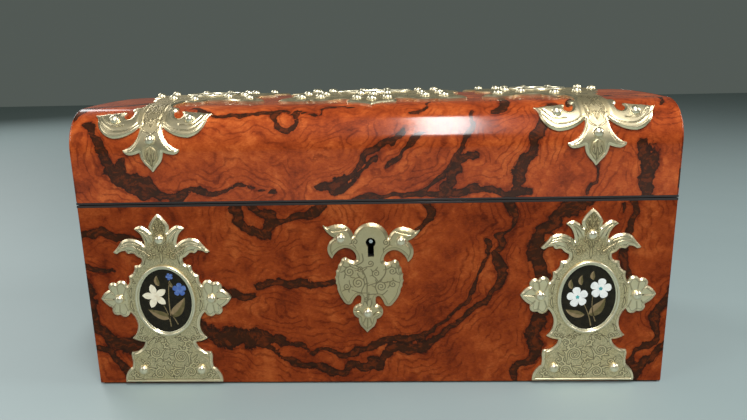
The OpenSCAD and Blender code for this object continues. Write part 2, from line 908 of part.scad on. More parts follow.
module lock_bolt() {
    slot_half = guide_r + lock_clear;
    color("goldenrod") at_lock() difference() {
        union() {
            block(-bolt_half - bolt_travel / 2, bolt_half - bolt_travel / 2,
                bolt_y - bolt_t / 2, bolt_y + bolt_t / 2, bolt_z0, bolt_top);
            prong();
            translate([-2 * link_x, 0, 0]) prong();
        }
        for (x = [-guide_x, guide_x])
            block(x - bolt_travel - slot_half, x + slot_half, bolt_y - bolt_t, bolt_y + bolt_t,
                bolt_z0 + bolt_h / 2 - slot_half, bolt_z0 + bolt_h / 2 + slot_half);
        block(-talon_w / 2 - bolt_travel / 2, talon_w / 2 - bolt_travel / 2, bolt_y - bolt_t,
            bolt_y + bolt_t, bolt_z0 - over, bolt_z0 + talon_h);
    }
}

// A bowed strip between the horns that bears on the case's top
spring_t = 0.5;
spring_half = 4.5;
spring_x = -2;

module bolt_spring() {
    rise = case_top - lock_clear - bolt_top;
    r = (spring_half * spring_half + rise * rise) / (2 * rise);
    color("silver") translate([lock_x + spring_x, bolt_y + bolt_t / 2, 0]) rotate([90, 0, 0])
        linear_extrude(bolt_t) intersection() {
            translate([0, bolt_top + rise - r]) difference() {
                circle(r);
                circle(r - spring_t);
            }
            translate([-spring_half - spring_t, bolt_top])
                square([2 * (spring_half + spring_t), rise + over]);
        }
}

module lock_screw_places() {
    at_lock() left_and_right()
        translate([lock_w / 2 + top_plate_ear / 2, (case_y0 + front_inner_y) / 2, rim_z])
            children();
}

module link_plate_screw_places() {
    over_seam() lock_screw_places() children();
}

module body_screws() {
    color("gold") {
        hinge_body_screw_places() screw();
        lock_screw_places() screw();
    }
}

module lid_screws() {
    color("gold") {
        hinge_lid_screw_places() screw();
        link_plate_screw_places() screw();
    }
}

// A plate in the lid's rim with two eyed links that drop into the lock
module link_plate() {
    eye_bottom = prong_z - eye_r - link_foot;
    color("gold") difference() {
        at_lock() {
            block(-top_plate_half, top_plate_half, top_plate_y0, front_inner_y,
                lid_rim_z, lid_rim_z + top_plate_t);
            left_and_right() difference() {
                block(link_x - link_t / 2, link_x + link_t / 2, bolt_y - link_w / 2,
                    bolt_y + link_w / 2, eye_bottom, lid_rim_z);
                translate([link_x - link_t, bolt_y, prong_z]) rotate([0, 90, 0])
                    cylinder(r = eye_r, h = 2 * link_t);
            }
        }
        link_plate_screw_places() screw_hole();
    }
}

// ------------------------------------------------------------ front plates

oval_steps = 60;
plate_points = mirrored_x(run_points(plate_run));

module oval(grow) {
    polygon(ellipse_points(oval_a + grow, oval_b + grow, oval_steps));
}

// Children on a plate's oval, on the left (-1) or right (1)
module at_oval(side) {
    on_front(side * mount_x, plate_foot_z + oval_z) children();
}

module front_plate(side) {
    color("#cfc6a0") difference() {
        on_front(side * mount_x, plate_foot_z) linear_extrude(plate_t) polygon(plate_points);
        at_oval(side) translate([0, 0, -over]) linear_extrude(plate_t + 2 * over) oval(stone_lap);
        at_plate_studs(plate_t) shank_hole();
    }
}

module left_front_plate() {
    front_plate(-1);
}

module right_front_plate() {
    front_plate(1);
}

// The bezel stands on the plate and laps over the stone's edge
module bezel(side) {
    color("#ded7b8") at_oval(side) translate([0, 0, plate_t]) linear_extrude(bezel_h)
        difference() {
            oval(bezel_w);
            oval(0);
        }
}

module left_bezel() {
    bezel(-1);
}

module right_bezel() {
    bezel(1);
}

module stone(side) {
    color("#15151a") at_oval(side) difference() {
        linear_extrude(plate_t) oval(stone_lap - hole_clear);
        translate([0, 0, plate_t - inlay_depth]) linear_extrude(inlay_depth + over) {
            if (side < 0) {
                cream_shape();
                blue_shape();
                left_leaf_shape();
            } else {
                white_shape();
                right_leaf_shape();
            }
        }
    }
}

module left_stone() {
    stone(-1);
}

module right_stone() {
    stone(1);
}

// ------------------------------------------------------------------ inlays

// A leaf or petal from a foot to a tip, with both sides bowed
module blade(foot, tip, bow) {
    polygon(concat(
        run_points([[foot[0], foot[1], bow], [tip[0], tip[1], 0]]),
        backwards(run_points([[foot[0], foot[1], -bow], [tip[0], tip[1], 0]]))
    ));
}

// A stem is a thin crescent between two points
module stem(foot, tip, bend, swell) {
    polygon(concat(
        run_points([[foot[0], foot[1], bend + swell], [tip[0], tip[1], 0]]),
        backwards(run_points([[foot[0], foot[1], bend - swell], [tip[0], tip[1], 0]]))
    ));
}

// Five petals round a point, with the first one turned by an angle
module petals(centre, reach, bow, turn) {
    for (i = [0 : 4])
        blade(centre, centre + turned([0, reach], turn + 72 * i), bow);
}

module cream_shape() {
    petals([-5.3, 2.5], 6.9, 0.46, 12);
}

module blue_shape() {
    petals([7.6, 6], 4.4, 0.5, 0);
    petals([3.1, 12.8], 2.2, 0.5, 20);
}

module white_shape() {
    petals([-5.4, 0.1], 5.4, 0.48, 8);
    petals([6, 4.6], 5.4, 0.48, -10);
}

module heart_shape() {
    translate([-5.4, 0.1]) circle(0.9);
    translate([6, 4.6]) circle(0.9);
}

// Leaves and stems of the left plaque, clear of its blossoms
module left_leaf_shape() {
    difference() {
        union() {
            blade([-1.8, -9], [-9.6, -5.4], 0.3);
            blade([2.2, -8.6], [9.6, -0.2], 0.3);
            blade([-3.6, 8.8], [-3.2, 13.6], 0.35);
            stem([1.8, -14], [-2, -2], -0.12, 0.03);
            stem([1.6, -9], [2.9, 10.4], 0.06, 0.018);
            stem([5.4, -13], [3, -8], 0.1, 0.05);
            stem([4, -4], [6.6, 3], 0.1, 0.04);
        }
        cream_shape();
        blue_shape();
    }
}

// The same for the right plaque
module right_leaf_shape() {
    difference() {
        union() {
            blade([-1.2, -10], [-11, -7.6], 0.26);
            blade([1.6, -9.4], [9, -0.8], 0.32);
            blade([-8, 5.2], [-9.2, 9], 0.42);
            blade([-3.4, 7.2], [-3.2, 11.2], 0.42);
            blade([2.4, 9.6], [2, 13.8], 0.42);
            stem([2.2, -15.6], [-1.8, -2.4], -0.1, 0.03);
            stem([4.4, -12.8], [3.4, 0.6], 0.1, 0.026);
        }
        white_shape();
    }
}

module inlay(side) {
    at_oval(side) translate([0, 0, plate_t - inlay_depth]) linear_extrude(inlay_depth) children();
}

module cream_blossom() {
    color("ivory") inlay(-1) cream_shape();
}

module blue_blossoms() {
    color("royalblue") inlay(-1) blue_shape();
}

module white_blossoms() {
    color("white") inlay(1) difference() {
        white_shape();
        heart_shape();
    }
}

module teal_hearts() {
    color("teal") inlay(1) heart_shape();
}

module leaf_inlays() {
    color("darkkhaki") {
        inlay(-1) left_leaf_shape();
        inlay(1) right_leaf_shape();
    }
}

// -------------------------------------------------------------- escutcheon

// Children on the front round the keyhole, turned with the escutcheon
module escutcheon_place() {
    on_front(lock_x, keyhole_z) rotate([0, 0, -escutcheon_tilt]) children();
}

module escutcheon() {
    color("#cfc6a0") difference() {
        escutcheon_place() linear_extrude(plate_t)
            polygon(mirrored_x(run_points(escutcheon_run)));
        keyhole_cut(plate_t + 2 * over);
        at_escutcheon_studs(plate_t) shank_hole(key_shank_len);
    }
}

// -------------------------------------------------------------- lid mounts

// The finials are cut square to a plane that leans back by this much
finial_lean = 35;
finial_depth = 45;

// Height of a point of the section up the leaning plane
function up_plane(s) = dome_y(s) * sin(finial_lean) + dome_z(s) * cos(finial_lean);

finial_points = mirrored_x([for (p = run_points(finial_run)) [p[0], up_plane(p[1])]]);
finial_foot = -dome_y(neck_run) * cos(finial_lean) + dome_z(neck_run) * sin(finial_lean) - 2;

crown_points = concat(
    mirrored_y([for (p = run_points(inward_run)) [-p[0], p[1]]]),
    backwards(mirrored_y(run_points(outward_run)))
);

centre_quarter = run_points(centre_run);
centre_points = mirrored_x(mirrored_y(centre_quarter));

// The layer of metal that lies on the dome between two places
module metal_layer(x0, x1) {
    along_x(x0, x1) difference() {
        section(-strap_t);
        section(0, lid_z - over);
    }
}

module finial() {
    intersection() {
        metal_layer(0, half_w);
        translate([mount_x, 0, 0]) rotate([90 - finial_lean, 0, 0])
            translate([0, 0, finial_foot]) linear_extrude(finial_depth) polygon(finial_points);
    }
}

// Children drawn in plan, stood through the crown
module through_crown(x) {
    translate([x, 0, shoulder_z]) linear_extrude(2 * shoulder_r) children();
}

side_oval_x = mount_x - lid_oval_in;

module side_oval(grow) {
    oval(grow);
}

module centre_oval(grow) {
    polygon(ellipse_points(centre_oval_a + grow, centre_oval_b + grow, oval_steps));
}

module strap(side) {
    color("#cfc6a0") mirror([side, 0, 0]) difference() {
        union() {
            front_and_back() finial();
            intersection() {
                metal_layer(0, half_w);
                through_crown(mount_x) polygon(crown_points);
            }
        }
        through_crown(side_oval_x) side_oval(stone_lap);
        at_strap_studs() shank_hole();
    }
}

module left_strap() {
    strap(1);
}

module right_strap() {
    strap(0);
}

module centre_mount() {
    color("#cfc6a0") difference() {
        intersection() {
            metal_layer(-half_w, half_w);
            through_crown(0) polygon(centre_points);
        }
        through_crown(0) centre_oval(stone_lap);
        at_centre_studs() shank_hole();
    }
}

// Rings that stand on the lid's metal and lap over the stones
module lid_bezels() {
    color("#ded7b8") intersection() {
        dome_layer(-half_w, half_w, -strap_t - bezel_h, -strap_t);
        union() {
            left_and_right() through_crown(side_oval_x) difference() {
                side_oval(bezel_w);
                side_oval(0);
            }
            through_crown(0) difference() {
                centre_oval(bezel_w);
                centre_oval(0);
            }
        }
    }
}

// Shifts of the left and right plaques' blossoms on the centre stone
centre_cream_at = [-6.2, -1];
centre_white_at = [5, -2.5];

// Plan of the blossoms let into the lid's stones, turned to face the front
module lid_flowers() {
    through_crown(-side_oval_x) white_shape();
    through_crown(side_oval_x) white_shape();
    through_crown(0) {
        translate(centre_cream_at) cream_shape();
        translate(centre_white_at) white_shape();
    }
}

module lid_stones() {
    color("#15151a") difference() {
        intersection() {
            metal_layer(-half_w, half_w);
            union() {
                left_and_right() through_crown(side_oval_x) side_oval(stone_lap - hole_clear);
                through_crown(0) centre_oval(stone_lap - hole_clear);
            }
        }
        intersection() {
            dome_layer(-half_w, half_w, -strap_t - over, inlay_depth - strap_t);
            lid_flowers();
        }
    }
}

module lid_inlays() {
    color("white") intersection() {
        dome_layer(-half_w, half_w, -strap_t, inlay_depth - strap_t);
        lid_flowers();
    }
}

module body_studs() {
    color("#e8e2c8") {
        at_plate_studs(plate_t) stud();
        at_escutcheon_studs(plate_t) stud(key_shank_len);
    }
}

module lid_studs() {
    color("#e8e2c8") {
        at_strap_studs() stud();
        at_centre_studs() stud();
    }
}

// --------------------------------------------------------------- the parts

front_board();
back_board();
left_end_board();
right_end_board();
base_board();
front_veneer();
back_veneer();
left_end_veneer();
right_end_veneer();
body_edging();
base_baize();
floor_pad();
front_lining();
back_lining();
left_lining();
right_lining();
lid_front_rail();
lid_back_rail();
lid_left_end();
lid_right_end();
lid_top_board();
lid_dome_veneer();
lid_left_veneer();
lid_right_veneer();
lid_edging();
lid_pad();
lid_end_pads();
left_hinge_body_leaf();
left_hinge_lid_leaf();
right_hinge_body_leaf();
right_hinge_lid_leaf();
hinge_pins();
lock_case();
lock_cap();
lock_bolt();
bolt_spring();
drill_pin();
link_plate();
body_screws();
lid_screws();
left_front_plate();
right_front_plate();
left_bezel();
right_bezel();
left_stone();
right_stone();
cream_blossom();
blue_blossoms();
white_blossoms();
teal_hearts();
leaf_inlays();
escutcheon();
left_strap();
right_strap();
centre_mount();
lid_bezels();
lid_stones();
lid_inlays();
body_studs();
lid_studs();
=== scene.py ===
"""Looks of the dome-top casket: veneer, engraved mounts, stone plaques, linings and hardware.

Sizes are in millimetres in the classes and become metres where a mesh is made.
"""

import json
import logging
import math
from collections.abc import Callable, Iterator
from dataclasses import dataclass, field
from enum import Enum

import bmesh
import bpy
import numpy as np
from mathutils import Matrix, Vector

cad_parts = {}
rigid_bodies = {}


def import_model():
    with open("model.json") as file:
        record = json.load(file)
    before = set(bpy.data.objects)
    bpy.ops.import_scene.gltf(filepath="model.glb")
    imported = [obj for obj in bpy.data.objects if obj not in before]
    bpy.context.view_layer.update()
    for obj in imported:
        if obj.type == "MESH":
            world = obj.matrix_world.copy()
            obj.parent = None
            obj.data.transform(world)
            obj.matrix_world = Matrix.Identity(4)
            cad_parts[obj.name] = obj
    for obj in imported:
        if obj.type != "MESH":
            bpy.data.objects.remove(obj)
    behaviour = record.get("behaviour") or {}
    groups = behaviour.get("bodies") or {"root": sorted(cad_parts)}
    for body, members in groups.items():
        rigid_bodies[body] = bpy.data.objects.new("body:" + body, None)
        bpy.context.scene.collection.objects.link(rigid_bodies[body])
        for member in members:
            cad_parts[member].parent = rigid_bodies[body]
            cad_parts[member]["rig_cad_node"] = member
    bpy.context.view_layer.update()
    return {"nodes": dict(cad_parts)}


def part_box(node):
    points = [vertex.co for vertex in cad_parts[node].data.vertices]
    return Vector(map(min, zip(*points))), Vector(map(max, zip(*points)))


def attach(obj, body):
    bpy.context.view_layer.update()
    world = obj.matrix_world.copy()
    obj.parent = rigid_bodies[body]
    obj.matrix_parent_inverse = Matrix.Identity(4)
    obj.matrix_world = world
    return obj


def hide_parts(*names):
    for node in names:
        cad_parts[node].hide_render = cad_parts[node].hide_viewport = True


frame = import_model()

LOG = logging.getLogger("casket")
MM = 0.001
# X and Z of the middle of the lock's keyhole
KEYWAY = (-1.4, 77.0)

Array = np.ndarray
Spot = tuple[float, float]
Run = list[tuple[float, float, float]]
Paths = list[list[Spot]]
Place = Callable[[Array, Array], Array]
Ribbon = tuple[Array, Array]
Shell = tuple[Array, list[Array]]
Piece = bpy.types.Object
Material = bpy.types.Material
Socket = bpy.types.NodeSocket


# ---------------------------------------------------------------- plane shapes


def turned(points: Array, degrees: float) -> Array:
    """Points turned about the origin, anticlockwise."""
    a = math.radians(degrees)
    return points @ np.array([[math.cos(a), math.sin(a)], [-math.sin(a), math.cos(a)]])


def arc_points(p: Array, q: Array, bulge: float, step: float) -> Array:
    """Points of a circular arc from p up to but not including q.

    The arc's sweep is four times the arctangent of the bulge, and its centre lies on the
    chord's perpendicular bisector.

    Args:
        p: Start of the arc.
        q: End of the arc.
        bulge: Tangent of a quarter of the sweep, positive where it swells to the left.
        step: Largest turn between two points, in degrees.

    Returns:
        The points, one to a row.
    """
    if bulge == 0:
        return p[None, :]
    chord = q - p
    length = np.linalg.norm(chord)
    left = np.array([-chord[1], chord[0]]) / length
    sagitta = bulge * length / 2
    centre = (p + q) / 2 + left * (sagitta - length * (bulge + 1 / bulge) / 4)
    sweep = -4 * math.degrees(math.atan(bulge))
    count = max(3, math.ceil(abs(sweep) / step))
    return np.vstack([centre + turned((p - centre)[None, :], sweep * i / count) for i in range(count)])


def run_points(run: Run, step: float = 9) -> Array:
    """An open run of straight and bulged sides as points.

    Args:
        run: Corners, each with the bulge of the side that leaves it.
        step: Largest turn between two points, in degrees.

    Returns:
        The points, one to a row.
    """
    ends = np.array([r[:2] for r in run], float)
    parts = [arc_points(ends[i], ends[i + 1], run[i][2], step) for i in range(len(run) - 1)]
    return np.vstack([*parts, ends[-1:]])


def mirrored(points: Array) -> Array:
    """A run closed by its mirror image across x = 0."""
    return np.vstack([points, points[::-1] * [-1, 1]])


def circle(count: int) -> Array:
    """Points of the unit circle, anticlockwise from +X."""
    t = np.linspace(0, 2 * math.pi, count, endpoint=False)
    return np.column_stack([np.cos(t), np.sin(t)])


def oval_hole(half: Spot, wider: float = 0.6) -> Array:
    """The hole in a mount under a plaque, hidden by the bezel."""
    return circle(96) * (np.array(half) + wider)


def both(*values: float) -> tuple[float, ...]:
    """Each value after its negative."""
    return tuple(s * v for v in values for s in (-1, 1))


def grid_points(xs: Array, ys: Array) -> Array:
    """Points of a flat grid, row by row."""
    gx, gy = np.meshgrid(xs, ys)
    return np.column_stack([gx.ravel(), gy.ravel()])


def flowing(path: Array, pieces: int = 6) -> Array:
    """A smooth curve through some points.

    Each stretch is the cubic that leaves and meets its ends along the chord of their
    neighbours.

    Args:
        path: The points.
        pieces: Short chords between two of them.

    Returns:
        The curve's points.
    """
    ends = np.vstack([path[:1], path, path[-1:]])
    t = (np.arange(pieces) / pieces)[:, None]
    a, b, c, d = ends[:-3, None], ends[1:-2, None], ends[2:-1, None], ends[3:, None]
    curve = b + 0.5 * t * (c - a + t * (2 * a - 5 * b + 4 * c - d + t * (3 * (b - c) + d - a)))
    return np.vstack([curve.reshape(-1, 2), path[-1:]])


def blocks(points: Array, size: float) -> Iterator[tuple[Array, Array, float]]:
    """Groups points by the square that they lie in.

    Args:
        points: The points, one to a row.
        size: Side of a square.

    Yields:
        Row numbers, the group's centre and its radius.
    """
    cell = np.floor(points / size).astype(int)
    order = np.lexsort((cell[:, 0], cell[:, 1]))
    turns = np.flatnonzero((np.diff(cell[order], axis=0) != 0).any(1)) + 1
    for rows in np.split(order, turns):
        part = points[rows]
        low, high = part.min(0), part.max(0)
        yield rows, (low + high) / 2, float(np.linalg.norm(high - low)) / 2


def to_segments(points: Array, a: Array, b: Array) -> tuple[Array, Array]:
    """Distance from every point to every segment, and how far along it the foot lies.

    The foot of the perpendicular is held between the segment's two ends.

    Args:
        points: The points.
        a: Starts of the segments.
        b: Ends of the segments.

    Returns:
        Distances and shares from 0 to 1, with a row for each point.
    """
    span = b - a
    offset = points[:, None, :] - a[None]
    along = np.clip((offset * span).sum(2) / np.maximum((span**2).sum(1), 1e-12), 0, 1)
    return np.linalg.norm(offset - along[..., None] * span, axis=2), along


def nearest_on_segments(points: Array, a: Array, b: Array) -> tuple[Array, Array]:
    """Distance from each point to the nearest segment, and the point on it.

    Only segments that can be nearest to some point of a group are tried.

    Args:
        points: The points.
        a: Starts of the segments.
        b: Ends of the segments.

    Returns:
        Distances and nearest points.
    """
    distances, nearest = np.empty(len(points)), np.empty_like(points)
    for rows, centre, radius in blocks(points, 4):
        far = to_segments(centre[None], a, b)[0][0]
        kept = np.flatnonzero(far <= far.min() + 2 * radius + 1e-6)
        gap, along = to_segments(points[rows], a[kept], b[kept])
        best = gap.argmin(1)
        each = np.arange(len(rows))
        pick = kept[best]
        distances[rows] = gap[each, best]
        nearest[rows] = a[pick] + along[each, best][:, None] * (b[pick] - a[pick])
    return distances, nearest


def signed_distance(points: Array, outline: Array) -> tuple[Array, Array]:
    """Distance to a closed outline, positive inside, and the nearest point on it.

    A point is inside where a ray along +x crosses the outline an odd number of times.

    Args:
        points: The points.
        outline: The outline's corners, in order.

    Returns:
        Distances and nearest points.
    """
    a, b = outline, np.roll(outline, -1, axis=0)
    distance, nearest = nearest_on_segments(points, a, b)
    inside = np.zeros(len(points), bool)
    rise = np.where(b[:, 1] == a[:, 1], 1e-12, b[:, 1] - a[:, 1])
    low, high = np.minimum(a[:, 1], b[:, 1]), np.maximum(a[:, 1], b[:, 1])
    for rows, centre, radius in blocks(points, 4):
        kept = (high >= centre[1] - radius) & (low <= centre[1] + radius)
        x, y = points[rows, 0:1], points[rows, 1:2]
        crosses = (a[kept, 1] > y) != (b[kept, 1] > y)
        reach = a[kept, 0] + (y - a[kept, 1]) * (b[kept, 0] - a[kept, 0]) / rise[kept]
        inside[rows] = (crosses & (x < reach)).sum(1) % 2 == 1
    return np.where(inside, distance, -distance), nearest


def ribbon_field(points: Array, ribbons: list[Ribbon], reach: float = 1.2) -> Array:
    """Distance outside some tapering ribbons, negative inside them and held at a reach.

    Args:
        points: Flat places.
        ribbons: Middle lines with the half width at each of their points.
        reach: Largest distance that is told apart.

    Returns:
        One distance for each point.
    """
    found = np.full(len(points), reach)
    a = np.vstack([line[:-1] for line, _ in ribbons])
    b = np.vstack([line[1:] for line, _ in ribbons])
    wa = np.concatenate([width[:-1] for _, width in ribbons])
    wb = np.concatenate([width[1:] for _, width in ribbons])
    for rows, centre, radius in blocks(points, 3):
        kept = to_segments(centre[None], a, b)[0][0] < radius + reach + max(wa.max(), wb.max())
        if kept.any():
            gap, along = to_segments(points[rows], a[kept], b[kept])
            gap -= wa[kept] + along * (wb[kept] - wa[kept])
            found[rows] = np.minimum(gap.min(1), reach)
    return found


def wander(points: Array, size: float, seed: int) -> Array:
    """Smooth random pushes between -1 and 1 each way, blended by the cubic step.

    Args:
        points: Flat places.
        size: Distance from one random value to the next.
        seed: Which random values are used.

    Returns:
        Two pushes for each point.
    """
    table = np.random.default_rng(seed).uniform(-1, 1, (64, 64, 2))
    cell = np.floor(points / size).astype(int)
    share = smooth(points / size - cell)
    u, v = share[:, 0:1], share[:, 1:2]
    i, j = cell[:, 0] % 64, cell[:, 1] % 64
    k, m = (i + 1) % 64, (j + 1) % 64
    return (table[i, j] * (1 - u) + table[k, j] * u) * (1 - v) + (table[i, m] * (1 - u) + table[k, m] * u) * v


def smooth(x: Array | float) -> Array:
    """The cubic step from 0 to 1."""
    x = np.clip(x, 0, 1)
    return x * x * (3 - 2 * x)


@dataclass
class Region:
    """A flat shape: the union of some closed outlines, less some holes."""

    outers: list[Array]
    holes: list[Array]

    def distances(self, points: Array) -> tuple[Array, Array, Array]:
        """Depth inside the shape, nearest point of its edge, and depth inside the outers alone.

        A union has the greatest of the depths, and a hole leaves the least.

        Args:
            points: Flat places.

        Returns:
            Depths, nearest points and outer depths.
        """
        depth, near = signed_distance(points, self.outers[0])
        for outline in self.outers[1:]:
            d, n = signed_distance(points, outline)
            near = np.where((d > depth)[:, None], n, near)
            depth = np.maximum(d, depth)
        outer = depth.copy()
        for outline in self.holes:
            d, n = signed_distance(points, outline)
            near = np.where((-d < depth)[:, None], n, near)
            depth = np.minimum(-d, depth)
        return depth, near, outer

    def grid(self, step: float) -> tuple[Array, list[Array], Array, Array]:
        """Covers the shape with a square grid whose rim is drawn onto the outline.

        Grid points closer to the edge than half a step move onto it, and cells with all four
        or three corners inside become quads or triangles.

        Args:
            step: Grid spacing.

        Returns:
            Points, faces, depth inside the shape and depth inside the outers.
        """
        low = np.min([o.min(0) for o in self.outers], axis=0) - step
        high = np.max([o.max(0) for o in self.outers], axis=0) + step
        nx, ny = (np.ceil((high - low) / step).astype(int)) + 1
        points = grid_points(low[0] + step * np.arange(nx), low[1] + step * np.arange(ny))
        depth, near, outer = self.distances(points)
        snap = np.abs(depth) <= 0.5 * step
        points[snap] = near[snap]
        depth[snap] = 0
        good = depth >= 0
        corner = (np.arange(ny - 1)[:, None] * nx + np.arange(nx - 1)[None, :]).ravel()
        quads = np.column_stack([corner, corner + 1, corner + nx + 1, corner + nx])
        held = good[quads]
        solid = quads[(held.sum(1) == 4) & (depth[quads].max(1) > 0)]
        three = quads[held.sum(1) == 3]
        lost = np.argmin(good[three], axis=1)
        turn = (lost[:, None] + np.array([1, 2, 3])) % 4
        triangles = np.take_along_axis(three, turn, axis=1)
        triangles = triangles[depth[triangles].max(1) > 0]
        return compact(points, [solid, triangles], depth, outer)


def compact(points: Array, faces: list[Array], *values: Array) -> tuple:
    """Drops the points that no face uses, and renumbers the faces.

    Args:
        points: All points.
        faces: Arrays of faces.
        *values: Arrays with a row for each point.

    Returns:
        The points in use, the faces, and the rows in use of each array.
    """
    used = np.unique(np.concatenate([f.ravel() for f in faces]))
    number = np.full(len(points), -1)
    number[used] = np.arange(len(used))
    return (points[used], [number[f] for f in faces if len(f)], *[v[used] for v in values])


# ---------------------------------------------------------------------- meshes


def make_object(name: str, points: Array, faces: list[Array], marks: dict[str, Array] | None = None,
                sharp: float = 38) -> Piece:
    """Makes a mesh object at the origin from points in millimetres.

    Args:
        name: Name of the piece.
        points: Points, one to a row.
        faces: Arrays of faces, each with one number of corners.
        marks: Values or vectors kept at the points for the finishes.
        sharp: Edges that turn more than this, in degrees, stay crisp.

    Returns:
        The object, linked to the scene.
    """
    mesh = bpy.data.meshes.new(name)
    corners = np.concatenate([f.ravel() for f in faces]).astype(np.int32)
    totals = np.concatenate([np.full(len(f), f.shape[1]) for f in faces]).astype(np.int32)
    mesh.vertices.add(len(points))
    mesh.vertices.foreach_set("co", (points * MM).astype(np.float32).ravel())
    mesh.loops.add(len(corners))
    mesh.loops.foreach_set("vertex_index", corners)
    mesh.polygons.add(len(totals))
    mesh.polygons.foreach_set("loop_start", np.concatenate([[0], np.cumsum(totals)[:-1]]).astype(np.int32))
    mesh.update(calc_edges=True)
    for key, values in (marks or {}).items():
        if values.ndim == 1:
            mesh.attributes.new(key, "FLOAT", "POINT").data.foreach_set("value", values.astype(np.float32))
        else:
            layer = mesh.attributes.new(key, "FLOAT_VECTOR", "POINT")
            layer.data.foreach_set("vector", values.astype(np.float32).ravel())
    mesh.shade_smooth()
    mesh.set_sharp_from_angle(angle=math.radians(sharp))
    piece = bpy.data.objects.new(name, mesh)
    bpy.context.scene.collection.objects.link(piece)
    return piece


def rim_edges(faces: list[Array], count: int) -> tuple[Array, Array]:
    """Directed edges that only one face uses.

    Args:
        faces: Arrays of faces.
        count: Number of points.

    Returns:
        Starts and ends of the edges.
    """
    starts = np.concatenate([f.ravel() for f in faces])
    ends = np.concatenate([np.roll(f, -1, axis=1).ravel() for f in faces])
    lone = ~np.isin(starts * count + ends, ends * count + starts)
    return starts[lone], ends[lone]


def closed_shell(top: Array, bottom: Array, faces: list[Array]) -> Shell:
    """Joins a surface and its underside with walls along the rim.

    Args:
        top: Points of the outer surface.
        bottom: Matching points of the inner surface.
        faces: Faces of the outer surface, seen from outside.

    Returns:
        All points and faces of the closed solid.
    """
    n = len(top)
    a, b = rim_edges(faces, n)
    walls = np.column_stack([a, a + n, b + n, b])
    return np.vstack([top, bottom]), [*faces, *[f[:, ::-1] + n for f in faces], walls]


def lattice(columns: int, rows: int, wrap: bool = False) -> Array:
    """Quads of a grid with that many points each way, numbered row by row.

    Args:
        columns: Points along a row.
        rows: Number of rows.
        wrap: Whether the last column joins the first.

    Returns:
        The quads.
    """
    i = np.arange(columns if wrap else columns - 1)
    j = np.arange(rows - 1)[:, None]
    k = (i + 1) % columns
    return np.stack([j * columns + i, j * columns + k, (j + 1) * columns + k, (j + 1) * columns + i],
                    axis=-1).reshape(-1, 4)


def fan(count: int) -> Array:
    """Triangles from point 0 to a ring of points numbered from 1."""
    i = np.arange(count)
    return np.column_stack([0 * i, 1 + i, 1 + (i + 1) % count])


def spaced(low: float, high: float, step: float, extra: tuple[float, ...] = ()) -> Array:
    """Even values from low to high, with some extra values let in.

    Args:
        low: First value.
        high: Last value.
        step: About the distance between two values.
        extra: Values to let in; an even value close to one gives way.

    Returns:
        The values, in order.
    """
    even = np.linspace(low, high, max(2, round((high - low) / step) + 1))
    keep = [v for v in extra if low < v < high]
    even = np.array([v for v in even if all(abs(v - k) > 0.3 * step for k in keep)] + keep)
    return np.unique(np.concatenate([even, [low, high]]))


def corner_drop(distance: Array, radius: float) -> Array:
    """How far a rounded arris lies below the flat face, at a distance from the edge."""
    d = np.clip(distance, 0, radius)
    return radius - np.sqrt(np.maximum(radius**2 - (radius - d) ** 2, 0))


def softened(node: str, name: str, width: float, segments: int = 2) -> Piece:
    """A copy of a CAD node with its arrises eased.

    Args:
        node: Name of the node.
        name: Name of the new piece.
        width: Width of the eased edge.
        segments: Faces across it.

    Returns:
        The new piece, which stands for the node.
    """
    mesh = frame["nodes"][node].data.copy()
    mesh.name = name
    mesh.materials.clear()
    shape = bmesh.new()
    shape.from_mesh(mesh)
    bmesh.ops.remove_doubles(shape, verts=shape.verts, dist=1e-6)
    bmesh.ops.dissolve_limit(shape, angle_limit=math.radians(1), verts=shape.verts, edges=shape.edges)
    shape.to_mesh(mesh)
    shape.free()
    mesh.shade_smooth()
    mesh.set_sharp_from_angle(angle=math.radians(30))
    piece = bpy.data.objects.new(name, mesh)
    bpy.context.scene.collection.objects.link(piece)
    ease = piece.modifiers.new("eased arrises", "BEVEL")
    ease.width = width * MM
    ease.segments = segments
    ease.limit_method = "ANGLE"
    ease.angle_limit = math.radians(35)
    ease.harden_normals = True
    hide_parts(node)
    return piece


# ------------------------------------------------------------------- finishes


class Value:
    """A number on a socket; arithmetic on it adds Math nodes."""

    def __init__(self, sheet: "Sheet", socket: Socket) -> None:
        """Keeps the socket and the sheet it is drawn on."""
        self.sheet = sheet
        self.socket = socket

    def math(self, operation: str, *others: "Value | float", clamp: bool = False) -> "Value":
        """One Math node on this value and up to two others."""
        return self.sheet.math(operation, self, *others, clamp=clamp)

    def __add__(self, other: "Value | float") -> "Value":
        """Sum."""
        return self.math("ADD", other)

    def __sub__(self, other: "Value | float") -> "Value":
        """Difference."""
        return self.math("SUBTRACT", other)

    def __mul__(self, other: "Value | float") -> "Value":
        """Product."""
        return self.math("MULTIPLY", other)

    def __truediv__(self, other: "Value | float") -> "Value":
        """Quotient."""
        return self.math("DIVIDE", other)

    def __radd__(self, other: float) -> "Value":
        """Sum with a number first."""
        return self.math("ADD", other)

    def __rsub__(self, other: float) -> "Value":
        """Difference with a number first."""
        return self.sheet.math("SUBTRACT", other, self)

    def __rmul__(self, other: float) -> "Value":
        """Product with a number first."""
        return self.math("MULTIPLY", other)

    def step(self, low: float, high: float) -> "Value":
        """Smooth step from 0 at low to 1 at high."""
        node = self.sheet.node("ShaderNodeMapRange", {"interpolation_type": "SMOOTHSTEP"},
                               {"Value": self, "From Min": low, "From Max": high})
        return Value(self.sheet, node.outputs["Result"])


Colour = tuple[float, float, float]


